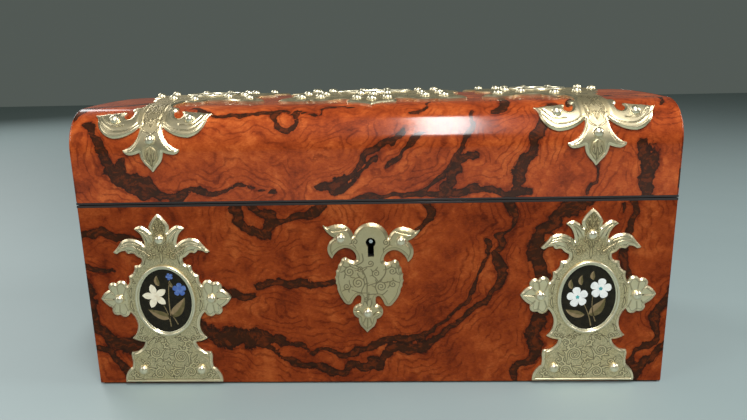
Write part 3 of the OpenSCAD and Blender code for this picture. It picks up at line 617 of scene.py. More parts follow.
class Sheet:
    """One material's node tree, with short ways to draw on it."""

    def __init__(self, name: str) -> None:
        """Starts an empty material.

        Args:
            name: Name of the material.
        """
        self.material = bpy.data.materials.new(name)
        self.material.use_nodes = True
        self.tree = self.material.node_tree
        self.tree.nodes.clear()

    def node(self, kind: str, settings: dict | None = None, inputs: dict | None = None) -> bpy.types.Node:
        """Adds a node, sets it, then fills its sockets.

        Args:
            kind: The node type's identifier.
            settings: Properties of the node, set first; "stops" fills a colour ramp.
            inputs: Socket names or numbers, with a value, a Value or a socket for each.

        Returns:
            The node.
        """
        made = self.tree.nodes.new(kind)
        for key, value in (settings or {}).items():
            if key == "stops":
                self.fill_ramp(made.color_ramp, value)
            else:
                setattr(made, key, value)
        for key, value in (inputs or {}).items():
            socket = made.inputs[key]
            if isinstance(value, Value):
                value = value.socket
            if isinstance(value, Socket):
                self.tree.links.new(value, socket)
            elif isinstance(value, tuple) and len(value) == 3 and socket.type == "RGBA":
                socket.default_value = (*value, 1)
            else:
                socket.default_value = value
        return made

    def fill_ramp(self, ramp: bpy.types.ColorRamp, stops: list[tuple[float, Colour]]) -> None:
        """Puts colour stops on a ramp.

        Args:
            ramp: The ramp.
            stops: Place from 0 to 1 and colour of each stop.
        """
        while len(ramp.elements) < len(stops):
            ramp.elements.new(0.5)
        for element, (place, colour) in zip(ramp.elements, stops):
            element.position = place
            element.color = (*colour, 1)

    def math(self, operation: str, *values: Value | float, clamp: bool = False) -> Value:
        """One Math node.

        Args:
            operation: The operation's identifier.
            *values: What goes into its sockets, in order.
            clamp: Whether the result is held between 0 and 1.

        Returns:
            The result.
        """
        settings = {"operation": operation, "use_clamp": clamp}
        node = self.node("ShaderNodeMath", settings, dict(enumerate(values)))
        return Value(self, node.outputs[0])

    def vector(self, operation: str, inputs: dict) -> Socket:
        """One Vector Math node's vector."""
        return self.node("ShaderNodeVectorMath", {"operation": operation}, inputs).outputs["Vector"]

    def place(self) -> Socket:
        """Object coordinates, in millimetres."""
        coordinates = self.node("ShaderNodeTexCoord").outputs["Object"]
        return self.vector("SCALE", {0: coordinates, "Scale": 1 / MM})

    def scaled(self, vector: Socket, x: float, y: float, z: float) -> Socket:
        """A vector with its three parts multiplied."""
        return self.vector("MULTIPLY", {0: vector, 1: (x, y, z)})

    def keyhole_shade(self, reach: float = 9.5, fade: float = 1.5, inner: float = -62) -> Value:
        """Mask of painted shade for the keyhole's dark inside: 1 near the axis of the keyhole, in the front
        wall.

        Args:
            reach: Distance from the axis up to which it is 1.
            fade: Further distance over which it falls to 0.
            inner: Y at which it ends.

        Returns:
            The share.
        """
        x, y, z = self.parts(self.place())
        across, up = x - KEYWAY[0], z - KEYWAY[1]
        far = (across * across + up * up).math("SQRT")
        return (1 - far.step(reach, reach + fade)) * (1 - y.step(inner - 2, inner))

    def mark(self, name: str) -> Socket:
        """A vector kept at the points of the mesh."""
        return self.node("ShaderNodeAttribute", {"attribute_name": name}).outputs["Vector"]

    def marked_value(self, name: str) -> Value:
        """A number kept at the points of the mesh."""
        return Value(self, self.node("ShaderNodeAttribute", {"attribute_name": name}).outputs["Fac"])

    def parts(self, vector: Socket) -> tuple[Value, Value, Value]:
        """The three parts of a vector."""
        outputs = self.node("ShaderNodeSeparateXYZ", None, {0: vector}).outputs
        return Value(self, outputs[0]), Value(self, outputs[1]), Value(self, outputs[2])

    def noise(self, vector: Socket, scale: float, detail: float, rough: float) -> Value:
        """Soft noise between 0 and 1; scale is in features per millimetre."""
        inputs = {"Vector": vector, "Scale": scale, "Detail": detail, "Roughness": rough}
        return Value(self, self.node("ShaderNodeTexNoise", None, inputs).outputs["Fac"])

    def stirred(self, vector: Socket, scale: float, reach: float) -> Socket:
        """A vector pushed about by noise.

        Args:
            vector: The vector.
            scale: Features of the noise per millimetre.
            reach: Twice the furthest push each way.

        Returns:
            The pushed vector.
        """
        node = self.node("ShaderNodeTexNoise", None, {"Vector": vector, "Scale": scale, "Detail": 3.0})
        push = self.vector("SUBTRACT", {0: node.outputs["Color"], 1: (0.5, 0.5, 0.5)})
        return self.vector("ADD", {0: vector, 1: self.vector("SCALE", {0: push, "Scale": reach})})

    def ramp(self, value: Value, stops: list[tuple[float, Colour]]) -> Socket:
        """A colour for each value."""
        return self.node("ShaderNodeValToRGB", {"stops": stops}, {"Fac": value}).outputs["Color"]

    def mix(self, share: Value | float, first: Colour | Socket,
            second: Colour | Socket, blend: str = "MIX") -> Socket:
        """Two colours mixed."""
        node = self.node("ShaderNodeMix", {"data_type": "RGBA", "blend_type": blend},
                         {0: share, 6: first, 7: second})
        return node.outputs[2]

    def bump(self, height: Value, depth: float) -> Socket:
        """A bumped normal; depth is the height of a full step, in millimetres."""
        inputs = {"Height": height, "Distance": depth * MM, "Strength": 1.0}
        return self.node("ShaderNodeBump", None, inputs).outputs["Normal"]

    def finish(self, **inputs: object) -> Material:
        """Ends the sheet with a Principled shader.

        Args:
            **inputs: Values or sockets by the shader's own names, with underscores for spaces.

        Returns:
            The material.
        """
        named = {key.replace("_", " "): value for key, value in inputs.items()}
        shader = self.node("ShaderNodeBsdfPrincipled", None, named)
        self.node("ShaderNodeOutputMaterial", None, {"Surface": shader.outputs[0]})
        return self.material


@dataclass(frozen=True)
class Veneer:
    """Figured veneer with ink-dark streaks under French polish."""

    slot: str
    name: str
    gain: float = 1.1
    polish: float = 0.22
    haze: float = 0.02
    dark: Colour = (0.085, 0.012, 0.002)
    middle: Colour = (0.155, 0.022, 0.0035)
    light: Colour = (0.225, 0.037, 0.006)
    pale: Colour = (0.34, 0.075, 0.015)
    streak: Colour = (0.026, 0.009, 0.003)
    rim: Colour = (0.009, 0.004, 0.002)
    line: Colour = (0.36, 0.24, 0.2)

    def material(self) -> Material:
        """Warped clouds, thin growth lines beside the streaks, and scalloped streaks.

        The growth lines are the whole steps of a phase that counts the distance from the
        nearest streak together with soft noise, so near a streak they run along it.

        Returns:
            The material.
        """
        s = Sheet(self.name)
        spot = s.place()
        stirred = s.stirred(spot, 0.018, 34)
        curled = s.stirred(stirred, 0.11, 6)
        cloud = s.noise(curled, 0.04, 5, 0.6)
        curl = s.noise(s.stirred(spot, 0.16, 7), 0.16, 4, 0.6)
        pores = s.noise(s.scaled(s.stirred(spot, 0.05, 8), 0.45, 1.0, 1.0), 1.5, 2, 0.7)
        tone = cloud * 0.62 + curl * 0.38 + (pores - 0.5) * 0.2
        tone = (tone - 0.5) * 1.35 + 0.52
        colour = s.ramp(tone, [(0.3, self.dark), (0.43, self.middle), (0.56, self.light), (0.74, self.pale)])
        colour = s.vector("SCALE", {0: colour, "Scale": self.gain})
        reach = s.marked_value("reach")
        phase = reach * 0.26 + s.noise(stirred, 0.016, 2, 0.5) * 12 + s.noise(curled, 0.12, 3, 0.6) * 1.8
        growth = 1 - (phase.math("FRACT") - 0.5).math("ABSOLUTE").step(0.02, 0.24)
        beside = (1 - reach.step(2, 16)) * 0.5 + s.noise(curled, 0.07, 3, 0.6).step(0.42, 0.62)
        growth = growth * beside.math("MINIMUM", 1.0)
        colour = s.mix(growth * 0.6, colour, s.mix(1.0, colour, self.line, "MULTIPLY"))
        scallop = s.noise(s.stirred(spot, 0.16, 5), 0.3, 4, 0.6)
        drawn = s.marked_value("streak") + (scallop - 0.5) * 0.9
        vein = s.noise(s.stirred(spot, 0.02, 30), 0.0085, 3, 0.5)
        swell = 0.03 + 0.05 * s.noise(spot, 0.03, 2, 0.5)
        wild = (1 - (vein - 0.5).math("ABSOLUTE") / swell) * s.noise(spot, 0.014, 2, 0.5).step(0.4, 0.5)
        wild = wild.math("MAXIMUM", 0.0) * (1 - s.marked_value("drawn"))
        deep = drawn.math("MAXIMUM", wild + (scallop - 0.5) * 0.9)
        ink = deep.step(0.4, 0.52)
        edge = ink * (1 - deep.step(0.5, 0.74))
        strands = s.noise(s.stirred(s.scaled(spot, 0.7, 1.0, 1.0), 0.09, 12), 0.36, 5, 0.68)
        halo = deep.step(0.06, 0.44) * 0.5
        colour = s.mix(halo, colour, s.mix(1.0, colour, (0.46, 0.32, 0.26), "MULTIPLY"))
        heart = s.mix(strands.step(0.46, 0.62) * 0.5, self.streak, s.mix(0.55, self.dark, self.light))
        colour = s.mix(ink * 0.95, colour, s.mix(edge * 0.85, heart, self.rim))
        height = pores * 0.6 + growth * 0.2
        return s.finish(Base_Color=colour, Roughness=0.4 + 0.2 * pores, Normal=s.bump(height, 0.012),
                        Coat_Weight=self.polish, Coat_Roughness=0.13, Coat_IOR=1.46,
                        Specular_IOR_Level=self.haze)


@dataclass(frozen=True)
class PlainWood:
    """Straight-grained timber, from raw board to the near-black edgings at the seam."""

    slot: str
    name: str
    early: Colour
    late: Colour
    polish: float

    def material(self) -> Material:
        """Long rings stretched along X, broken by fine fibres.

        Returns:
            The material.
        """
        s = Sheet(self.name)
        spot = s.stirred(s.place(), 0.01, 12)
        rings = s.noise(s.scaled(spot, 0.06, 1.0, 1.0), 0.35, 4, 0.6)
        fibres = s.noise(s.scaled(spot, 0.05, 1.0, 1.0), 2.5, 2, 0.6)
        tone = rings * 0.7 + fibres * 0.3
        colour = s.ramp(tone, [(0.35, self.early), (0.65, self.late)])
        # Painted shade: the wood round the keyhole's axis is made near black, for the dark inside of the
        # keyhole.
        colour = s.mix(s.keyhole_shade(), colour, (0.004, 0.003, 0.003))
        return s.finish(Base_Color=colour, Roughness=0.62 - 0.35 * self.polish + 0.15 * fibres,
                        Normal=s.bump(fibres, 0.04), Coat_Weight=self.polish, Coat_Roughness=0.08)


@dataclass(frozen=True)
class Metal:
    """Turned or stamped metal with fine scratches and blotches of tarnish, and near-black painted shade
    inside the keyhole where asked.
    """

    slot: str
    name: str
    colour: Colour
    dull: Colour
    roughness: float
    scratch: float = 0.01
    # Whether the metal round the keyhole's axis gets near-black painted shade.
    keyhole_shaded: bool = False

    def material(self) -> Material:
        """Blotches of tarnish over fine random scratches.

        Returns:
            The material.
        """
        s = Sheet(self.name)
        spot = s.place()
        blotch = s.noise(spot, 0.22, 4, 0.6).step(0.4, 0.75)
        scratches = s.noise(s.scaled(s.stirred(spot, 0.3, 1.5), 0.3, 1.0, 2.6), 2.2, 3, 0.7)
        colour = s.mix(blotch * 0.55, self.colour, self.dull)
        # Painted shade: near black round the keyhole's axis, for the dark inside of the keyhole.
        if self.keyhole_shaded:
            colour = s.mix(s.keyhole_shade(), colour, (0.004, 0.0035, 0.003))
        return s.finish(Base_Color=colour, Metallic=1.0,
                        Roughness=self.roughness + 0.12 * blotch + 0.08 * scratches,
                        Normal=s.bump(scratches, self.scratch))


@dataclass(frozen=True)
class EngravedMetal:
    """Pale sheet metal: ribbons stand out from a matted ground, and the bevels are bright."""

    slot: str
    name: str
    colour: Colour = (0.86, 0.74, 0.48)
    gold: Colour = (0.76, 0.61, 0.32)
    dull: Colour = (0.42, 0.38, 0.22)
    ink: Colour = (0.07, 0.058, 0.03)
    cut: float = 0.95

    def material(self) -> Material:
        """Dark lines round the marked ribbons, punched dots between, and a line along the rim.

        Returns:
            The material.
        """
        s = Sheet(self.name)
        edge = s.parts(s.mark("plan"))[2]
        ribbon, rib, ground = s.parts(s.mark("work"))
        spot = s.place()
        field = edge.step(1.1, 1.5)
        border = 1 - (edge - 1.5).math("ABSOLUTE").step(0.06, 0.24)
        outline = (1 - (ribbon - 0.02).math("ABSOLUTE").step(0.09, 0.26)) * field
        between = ribbon.step(0.05, 0.25) * field * ground
        punched = s.noise(spot, 2.0, 1, 0.5).step(0.42, 0.56)
        grit = s.noise(spot, 3.0, 3, 0.7)
        blotch = s.noise(spot, 0.14, 4, 0.6).step(0.38, 0.72)
        dark = (between * (0.06 + 0.34 * punched)).math("MAXIMUM", outline * self.cut)
        dark = dark.math("MAXIMUM", rib * 0.6).math("MAXIMUM", border * 0.6, clamp=True)
        gilt = (field * ground * 0.45 + blotch * 0.3 * field).math("MINIMUM", 1.0)
        colour = s.mix(gilt, self.colour, self.gold)
        colour = s.mix(grit.step(0.5, 0.8) * 0.3, colour, self.dull)
        colour = s.mix(dark * 0.85, colour, self.ink)
        height = 1 - outline * 0.7 - border * 0.5 - between * 0.3 + grit * 0.03
        return s.finish(Base_Color=colour, Metallic=1.0, Normal=s.bump(height, 0.08),
                        Roughness=0.31 + 0.2 * dark + 0.05 * blotch + 0.06 * ground * field)


@dataclass(frozen=True)
class Stone:
    """Polished stone with clouds or bands."""

    slot: str
    name: str
    colour: Colour
    vein: Colour
    cloud: float = 0.35
    banded: bool = False

    def material(self) -> Material:
        """Soft clouds between two tones; a banded stone takes its halves from the mark.

        Returns:
            The material.
        """
        s = Sheet(self.name)
        spot = s.place()
        share = s.noise(s.stirred(spot, 0.3, 3), self.cloud, 4, 0.6).step(0.4, 0.7)
        if self.banded:
            share = share * 0.35 + s.marked_value("half").step(-0.15, 0.15) * 0.65
        grain = s.noise(spot, 4.0, 2, 0.6)
        colour = s.mix(share, self.colour, self.vein)
        return s.finish(Base_Color=colour, Roughness=0.2 + 0.08 * grain, Normal=s.bump(grain, 0.004),
                        Coat_Weight=0.12, Coat_Roughness=0.06, Specular_IOR_Level=0.15)


@dataclass(frozen=True)
class Cloth:
    """Velvet or baize with a short nap."""

    slot: str
    name: str
    colour: Colour
    worn: Colour
    weave: float
    sheen: float

    def material(self) -> Material:
        """Nap that lies this way and that, over a fine pile.

        Returns:
            The material.
        """
        s = Sheet(self.name)
        spot = s.place()
        brushed = s.noise(s.stirred(spot, 0.05, 14), 0.06, 3, 0.5).step(0.35, 0.7)
        pile = s.noise(spot, self.weave, 3, 0.7)
        colour = s.mix(brushed * 0.6 + (pile - 0.5) * 0.5, self.colour, self.worn)
        return s.finish(Base_Color=colour, Roughness=0.85, Normal=s.bump(pile, 0.12),
                        Sheen_Weight=self.sheen, Sheen_Roughness=0.35)


class Finish(Enum):
    """The finishes."""

    VENEER = Veneer("veneer", "body_veneer")
    LID_VENEER = Veneer("veneer", "lid_veneer", 1.65, 0.75, 0.05)
    BOARD = PlainWood("board", "secondary_wood", (0.36, 0.2, 0.1), (0.22, 0.11, 0.05), 0.1)
    # Near-black edgings along the seam between lid and body: partly black wood, partly painted shade of the
    # dark seam between them.
    EDGING_AND_SEAM_SHADE = PlainWood("ebonised", "black_edging_and_seam_shade", (0.016, 0.009, 0.007), (0.008, 0.005, 0.004), 0.15)
    BAIZE = Cloth("baize", "green_baize", (0.02, 0.045, 0.018), (0.035, 0.07, 0.03), 2.2, 0.3)
    LINING = Cloth("lining", "blue_velvet", (0.018, 0.03, 0.16), (0.026, 0.042, 0.21), 3.0, 0.3)
    BRASS = Metal("hardware_brass", "lacquered_brass", (0.74, 0.52, 0.2), (0.42, 0.27, 0.1), 0.24,
                  keyhole_shaded=True)
    STEEL = Metal("steel", "spring_steel", (0.62, 0.62, 0.62), (0.35, 0.34, 0.33), 0.22)
    ENGRAVED = EngravedMetal("engraved_metal", "engraved_plate")
    KEYPLATE = EngravedMetal("engraved_metal", "engraved_keyplate", (0.66, 0.54, 0.32), (0.6, 0.46, 0.22),
                             cut=0.72)
    POLISHED = Metal("polished_metal", "polished_rims", (0.88, 0.8, 0.58), (0.68, 0.6, 0.4), 0.27, 0.001)
    BLACK = Stone("black_stone", "black_marble", (0.008, 0.006, 0.002), (0.015, 0.012, 0.005))
    CREAM = Stone("cream_stone", "cream_marble", (0.82, 0.75, 0.58), (0.66, 0.57, 0.4))
    BLUE = Stone("blue_stone", "blue_stone", (0.06, 0.12, 0.36), (0.13, 0.21, 0.44), 0.6)
    WHITE = Stone("white_stone", "white_marble", (0.84, 0.84, 0.8), (0.68, 0.7, 0.68))
    TEAL = Stone("teal_stone", "teal_stone", (0.05, 0.3, 0.32), (0.09, 0.44, 0.42), 0.8)
    LEAF = Stone("leaf_stone", "leaf_stone", (0.1, 0.082, 0.03), (0.27, 0.19, 0.1), 0.5, True)


class Wardrobe:
    """Makes each finish once, and puts pieces in it."""

    def __init__(self) -> None:
        """Starts with nothing made."""
        self.made: dict[Finish, Material] = {}

    def dress(self, piece: Piece, finish: Finish) -> None:
        """Gives a piece one finish.

        Args:
            piece: The piece.
            finish: Its finish.
        """
        if finish not in self.made:
            self.made[finish] = finish.value.material()
        piece.data.materials.clear()
        piece.data.materials.append(self.made[finish])
        "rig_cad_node" not in piece


WARDROBE = Wardrobe()


def fit(piece: Piece, body: str, finish: Finish, *nodes: str) -> Piece:
    """Dresses a new piece, rides it on its body and lets it stand for CAD nodes.

    Args:
        piece: The piece.
        body: Body that it rides on.
        finish: Its finish.
        *nodes: CAD nodes that it stands for.

    Returns:
        The piece.
    """
    WARDROBE.dress(piece, finish)
    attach(piece, body)
    if nodes:
        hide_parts(*nodes)
    LOG.info("%s: %d faces on %s", piece.name, len(piece.data.polygons), body)
    return piece


# ----------------------------------------------------------------- the casket


@dataclass
class Casket:
    """Sizes that the sub-assemblies share, and the two surfaces they lie on."""

    half_w: float = 150
    half_d: float = 75
    body_h: float = 98.4
    baize_t: float = 0.8
    veneer_t: float = 1
    wall_t: float = 10
    edging_t: float = 1.1
    seam_gap: float = 0.4
    lid_h: float = 48
    shoulder_r: float = 21
    crown_r: float = 880
    mount_x: float = 108.7
    plate_t: float = 1.8
    strap_t: float = 1.6
    bezel_w: float = 2.1
    bezel_h: float = 1.2

    def __post_init__(self) -> None:
        """Works out the lid's section, as two tangent arcs."""
        self.lid_z = self.body_h + 2 * self.edging_t + self.seam_gap
        self.apex = self.lid_z + self.lid_h
        self.crown_z = self.apex - self.crown_r
        self.shoulder_y = self.half_d - self.shoulder_r
        reach = self.crown_r - self.shoulder_r
        self.lean = math.asin(self.shoulder_y / reach)
        self.shoulder_z = self.crown_z + reach * math.cos(self.lean)
        self.turn = math.pi / 2 - self.lean
        self.flat_run = self.shoulder_z - self.lid_z
        self.shoulder_run = self.shoulder_r * self.turn
        self.half_run = self.flat_run + self.shoulder_run + self.lean * self.crown_r

    def on_dome(self, points: Array, lift: Array | float) -> Array:
        """Lays flat points over the lid.

        The second coordinate is the length over the section from the crown, negative to the
        front; it runs along the crown's arc, the shoulder's arc and the straight side in turn.

        Args:
            points: Distance along the box and length over the section.
            lift: Height above the wood.

        Returns:
            Points in space.
        """
        t = points[:, 1]
        s = self.half_run - np.abs(t)
        side = np.where(t < 0, -1.0, 1.0)
        on_shoulder = np.clip((s - self.flat_run) / self.shoulder_r, 0, self.turn)
        on_crown = np.maximum(s - self.flat_run - self.shoulder_run, 0) / self.crown_r
        turn = on_shoulder + on_crown
        crown = on_crown > 0
        y = np.where(crown, self.crown_r * np.cos(turn), self.shoulder_y + self.shoulder_r * np.cos(turn))
        z = np.where(crown, self.crown_z + self.crown_r * np.sin(turn),
                     self.shoulder_z + self.shoulder_r * np.sin(turn))
        z = np.where(s < self.flat_run, self.lid_z + s, z)
        return np.column_stack([points[:, 0], side * (y + lift * np.cos(turn)), z + lift * np.sin(turn)])

    def on_front(self, points: Array, lift: Array | float) -> Array:
        """Stands flat points on the front face."""
        return np.column_stack([points[:, 0], -self.half_d - lift + 0 * points[:, 0], points[:, 1]])

    def run_at(self, y: Array | float) -> Array | float:
        """Length over the crown at a distance from its middle line."""
        return self.crown_r * np.arcsin(np.asarray(y) / self.crown_r)


CASKET = Casket()


@dataclass(frozen=True)
class Streak:
    """A dark streak in the veneer: a path and its half width."""

    width: float
    path: tuple[Spot, ...]


FRONT_STREAKS = [
    Streak(1.6, ((-152, 82), (-146, 86), (-140, 88), (-136, 87), (-132, 84), (-126, 82), (-116, 78))),
    Streak(1.2, ((-151, 67), (-146, 65), (-140, 64), (-134, 66))),
    Streak(3.8, ((-151, 56), (-150, 43), (-148, 36), (-144, 32), (-140, 27), (-135, 25), (-126, 24))),
    Streak(4.6, ((-98, 33), (-91, 31), (-83, 29), (-72, 27), (-60, 27), (-50, 24))),
    Streak(1.9, ((-151, 23), (-142, 21), (-140, 16), (-136, 9), (-131, 5), (-128, 0))),
    Streak(3.2, ((-69, 96), (-68, 89), (-62, 84), (-55, 85), (-52, 90))),
    Streak(1.6, ((-62, 98), (-57, 94), (-50, 93))), Streak(1.5, ((-78, 54), (-70, 49), (-64, 50))),
    Streak(1.6, ((-60, 56), (-52, 58), (-44, 57), (-37, 57), (-30, 57), (-21, 58))),
    Streak(1.7, ((-56, 86), (-48, 89), (-42, 91), (-36, 92), (-31, 94), (-25, 98))),
    Streak(3.0, ((27, 98), (28, 91), (25, 87), (22, 84))),
    Streak(1.5, ((-50, 24), (-45, 22), (-40, 23), (-35, 18), (-30, 21), (-24, 19), (-19, 14), (-12, 17),
        (-5, 21), (3, 24), (12, 26), (21, 26), (29, 30), (37, 36), (42, 43), (49, 49), (52, 60), (57, 70),
        (56, 78))),
    Streak(2.0, ((-60, 22), (-52, 18), (-46, 14), (-38, 11), (-29, 9), (-23, 5), (-17, 6), (-15, 10),
        (-8, 10), (-2, 13), (2, 11), (4, 16), (12, 21), (23, 20), (26, 23), (35, 28), (44, 35), (49, 42),
        (57, 47), (61, 52), (65, 58), (65, 65), (62, 71), (64, 77), (61, 81), (67, 83), (69, 90),
        (68, 98))),
    Streak(2.9, ((106, 99), (101, 97), (95, 94), (90, 90), (89, 86), (83, 83), (82, 75), (83, 68),
        (87, 60))),
    Streak(2.5, ((88, 46), (84, 39), (82, 32), (83, 24), (83, 17), (78, 12), (73, 9), (73, 3))),
    Streak(1.8, ((129, 98), (130, 90), (128, 83), (124, 79))), Streak(0.9, ((123, 98), (122, 92))),
    Streak(2.7, ((126, 73), (128, 64), (131, 58))),
    Streak(2.2, ((151, 52), (145, 42), (144, 33), (144, 25), (137, 21), (134, 13), (131, 8))),
    Streak(2.8, ((151, 25), (142, 15), (136, 9), (132, 1))),
]

# Length over the lid from the crown, negative to the front
LID_STREAKS = [
    Streak(1.9, ((-150, -70), (-147, -64), (-146, -60), (-141, -54), (-132, -50), (-120, -38))),
    Streak(2.8, ((-140, -74), (-136, -81), (-135, -86), (-133, -93), (-130, -99), (-126, -102),
        (-121, -100), (-116, -101), (-111, -104), (-108, -108), (-102, -109), (-95, -110))),
    Streak(2.0, ((-124, -92), (-126, -98), (-121, -101))),
    Streak(1.6, ((-123, -105), (-116, -107), (-107, -110))),
    Streak(0.9, ((-96, -109), (-90, -107), (-82, -108), (-76, -107), (-71, -105), (-60, -107),
        (-48, -108))),
    Streak(0.8, ((-90, -62), (-74, -68), (-66, -66), (-56, -67), (-48, -66), (-41, -66), (-37, -68),
        (-35, -65), (-31, -67), (-27, -69), (-24, -68), (-22, -63), (-15, -62), (-9, -63))),
    Streak(1.1, ((-47, -67), (-48.5, -70.5), (-46.5, -74.5), (-43, -77), (-39, -76), (-37.5, -73),
        (-38, -70), (-35, -67.5))),
    Streak(0.8, ((-66, -68), (-58, -66.5), (-50, -66.8))),
    Streak(1.8, ((-27, -107), (-19, -106), (-16, -103), (-11, -100), (-6, -96), (-3, -91), (2, -90),
        (5, -86), (11, -83), (16, -80))),
    Streak(1.1, ((-20, -109), (-12, -105), (-7, -101), (-2, -96), (3, -93))),
    Streak(1.8, ((7, -96), (12, -92), (15, -88), (20, -84), (24, -81))),
    Streak(1.4, ((16, -112), (20, -110), (26, -108), (31, -104), (36, -101), (40, -95), (42, -89),
        (46, -82), (49, -74), (48, -66))),
    Streak(2.4, ((36, -108), (39, -104), (42, -97), (44, -92), (49, -91))),
    Streak(0.7, ((19, -68), (23, -67), (27, -64), (28, -56))),
    Streak(1.5, ((-8, -112), (10, -111), (25, -110), (39, -110), (53, -108), (60, -108), (66, -109),
        (77, -109))),
    Streak(2.3, ((88, -66), (85, -74), (82, -79), (78, -84), (77, -90), (72, -98), (71, -104), (70, -110))),
    Streak(1.9, ((76, -15), (70, -40), (67, -55), (66, -65), (60, -69))),
    Streak(1.1, ((96, -32), (97, -48), (101, -52), (97, -66))),
    Streak(3.1, ((130, -88), (132, -92), (134, -98), (133, -105), (135, -112))),
    Streak(0.8, ((109, -96), (111, -103), (107, -106), (105, -111))),
    Streak(1.0, ((121, -46), (131, -40), (138, -49), (145, -56), (145, -66))),
    Streak(2.4, ((-60, 20), (-30, 34), (-4, 30), (22, 44), (50, 38), (84, 60), (120, 52), (150, 70))),
    Streak(2.0, ((-150, 40), (-118, 62), (-90, 70), (-52, 92), (-20, 98), (14, 90), (60, 104))),
]


def streak_marks(points: Array, streaks: list[Streak]) -> tuple[Array, Array]:
    """How deep each point lies in a streak, and how far it is from the nearest.

    The points are first pushed about by noise of three sizes, so that the streaks waver and
    scallop, and the widths swell and shrink. The depth is 1 on a path, 0.5 at its edge and 0
    beyond.

    Args:
        points: Flat places on the panel.
        streaks: The streaks.

    Returns:
        Depths and distances.
    """
    pushed = (points + 1.5 * wander(points, 13, 1) + 1.5 * wander(points, 5.5, 2)
              + 0.6 * wander(points, 2.6, 3))
    swell = 1 + 0.55 * wander(points, 17, 4)[:, 0] + 0.25 * wander(points, 6, 5)[:, 0]
    best, reach = np.zeros(len(points)), np.full(len(points), 60.0)
    for streak in streaks:
        path = flowing(np.array(streak.path, float), 4)
        distance, _ = nearest_on_segments(pushed, path[:-1], path[1:])
        best = np.maximum(best, 1 - distance / (2 * streak.width * swell))
        reach = np.minimum(reach, distance)
    return np.clip(best, 0, 1), reach


@dataclass
class VeneeredCarcass:
    """The veneers of the body and the lid, with eased arrises."""

    step: float = 1.3
    dome_step: float = 1.5
    coarse: float = 3.0
    arris: float = 0.7
    deepest: float = 0.9
    easing: tuple[float, ...] = (0.06, 0.18, 0.35, 0.55, 0.7, 1.0)
    well_w: float = 6.4
    well_top: float = 82.2
    well_foot: float = 70.6
    well_x: float = KEYWAY[0]
    gain_in: float = 75
    gain_out: float = 109
    gain_depth: float = 0.5

    def build(self) -> None:
        """Makes the six outer faces."""
        self.long_side("front_veneer", -1)
        self.long_side("back_veneer", 1)
        self.end_sides()
        self.dome()
        for side in ("left", "right"):
            piece = softened(f"lid_{side}_veneer", f"lid_{side}_end_face", width=0.5)
            fit(piece, "lid", Finish.LID_VENEER)

    def long_side(self, node: str, side: int) -> None:
        """The front (-1) or back (1) veneer, thinned by a rounded arris at its ends.

        Args:
            node: The CAD node that it stands for.
            side: Which way it faces along Y.
        """
        c = CASKET
        step = self.step if side < 0 else self.coarse
        near = both(*(c.half_w - e for e in self.easing))
        low, high = c.baize_t, c.body_h
        if side < 0:
            cuts_x = (self.well_x - self.well_w / 2, self.well_x + self.well_w / 2)
            cuts_z = (self.well_foot, self.well_top)
        else:
            cuts_x = both(self.gain_in, self.gain_out)
            cuts_z = (high - self.gain_depth,)
        xs = spaced(-c.half_w, c.half_w, step, near + cuts_x)
        zs = spaced(low, high, step, tuple(low + e for e in self.easing) + cuts_z)
        flat = grid_points(xs, zs)
        drop = (corner_drop(c.half_w - np.abs(flat[:, 0]), self.arris)
                + corner_drop(flat[:, 1] - low, self.arris))
        outer = np.column_stack([flat[:, 0], side * (c.half_d - np.minimum(drop, self.deepest)), flat[:, 1]])
        inner = np.column_stack([flat[:, 0], np.full(len(flat), side * (c.half_d - c.veneer_t)), flat[:, 1]])
        quads = lattice(len(xs), len(zs))
        middle = flat[quads].mean(1)
        if side < 0:
            open_cell = (np.abs(middle[:, 0] - self.well_x) < self.well_w / 2) & (
                middle[:, 1] > self.well_foot) & (middle[:, 1] < self.well_top)
        else:
            reach = np.abs(middle[:, 0])
            open_cell = (reach > self.gain_in) & (reach < self.gain_out) & (middle[:, 1] > cuts_z[0])
            quads = quads[:, ::-1]
        outer, faces, inner, flat = compact(outer, [quads[~open_cell]], inner, flat)
        points, faces = closed_shell(outer, inner, faces)
        marks = self.marks(flat, FRONT_STREAKS if side < 0 else [])
        fit(make_object(f"{node}_sheet", points, faces, marks), "body", Finish.VENEER, node)

    def marks(self, flat: Array, streaks: list[Streak]) -> dict[str, Array]:
        """The finishes' marks, for the outer and the inner points.

        Args:
            flat: Flat places of the outer points.
            streaks: The panel's streaks, or none where noise alone makes the figure.

        Returns:
            The marks by name.
        """
        deep, reach = streak_marks(flat, streaks)
        drawn = np.full(len(flat), 1.0 if streaks else 0.0)
        return {"streak": np.tile(deep, 2), "reach": np.tile(reach, 2), "drawn": np.tile(drawn, 2)}

    def end_sides(self) -> None:
        """The two end veneers of the body."""
        for side in ("left", "right"):
            piece = softened(f"{side}_end_veneer", f"{side}_end_face", width=0.15)
            fit(piece, "body", Finish.VENEER)

    def dome(self) -> None:
        """The veneer bent over the lid, notched at the back for the hinges."""
        c = CASKET
        reach = c.half_w - c.veneer_t
        notch = c.half_run - self.gain_depth
        xs = spaced(-reach, reach, self.dome_step, both(self.gain_in, self.gain_out))
        ts = spaced(-c.half_run, c.half_run, self.step, (notch,))
        flat = grid_points(xs, ts)
        outer, inner = c.on_dome(flat, 0.0), c.on_dome(flat, -c.veneer_t)
        quads = lattice(len(xs), len(ts))
        middle = flat[quads].mean(1)
        across = np.abs(middle[:, 0])
        open_cell = (across > self.gain_in) & (across < self.gain_out) & (middle[:, 1] > notch)
        outer, faces, inner, flat = compact(outer, [quads[~open_cell]], inner, flat)
        points, faces = closed_shell(outer, inner, faces)
        marks = self.marks(flat, LID_STREAKS)
        fit(make_object("lid_dome_sheet", points, faces, marks), "lid", Finish.LID_VENEER, "lid_dome_veneer")


# -------------------------------------------------------------------- mounts


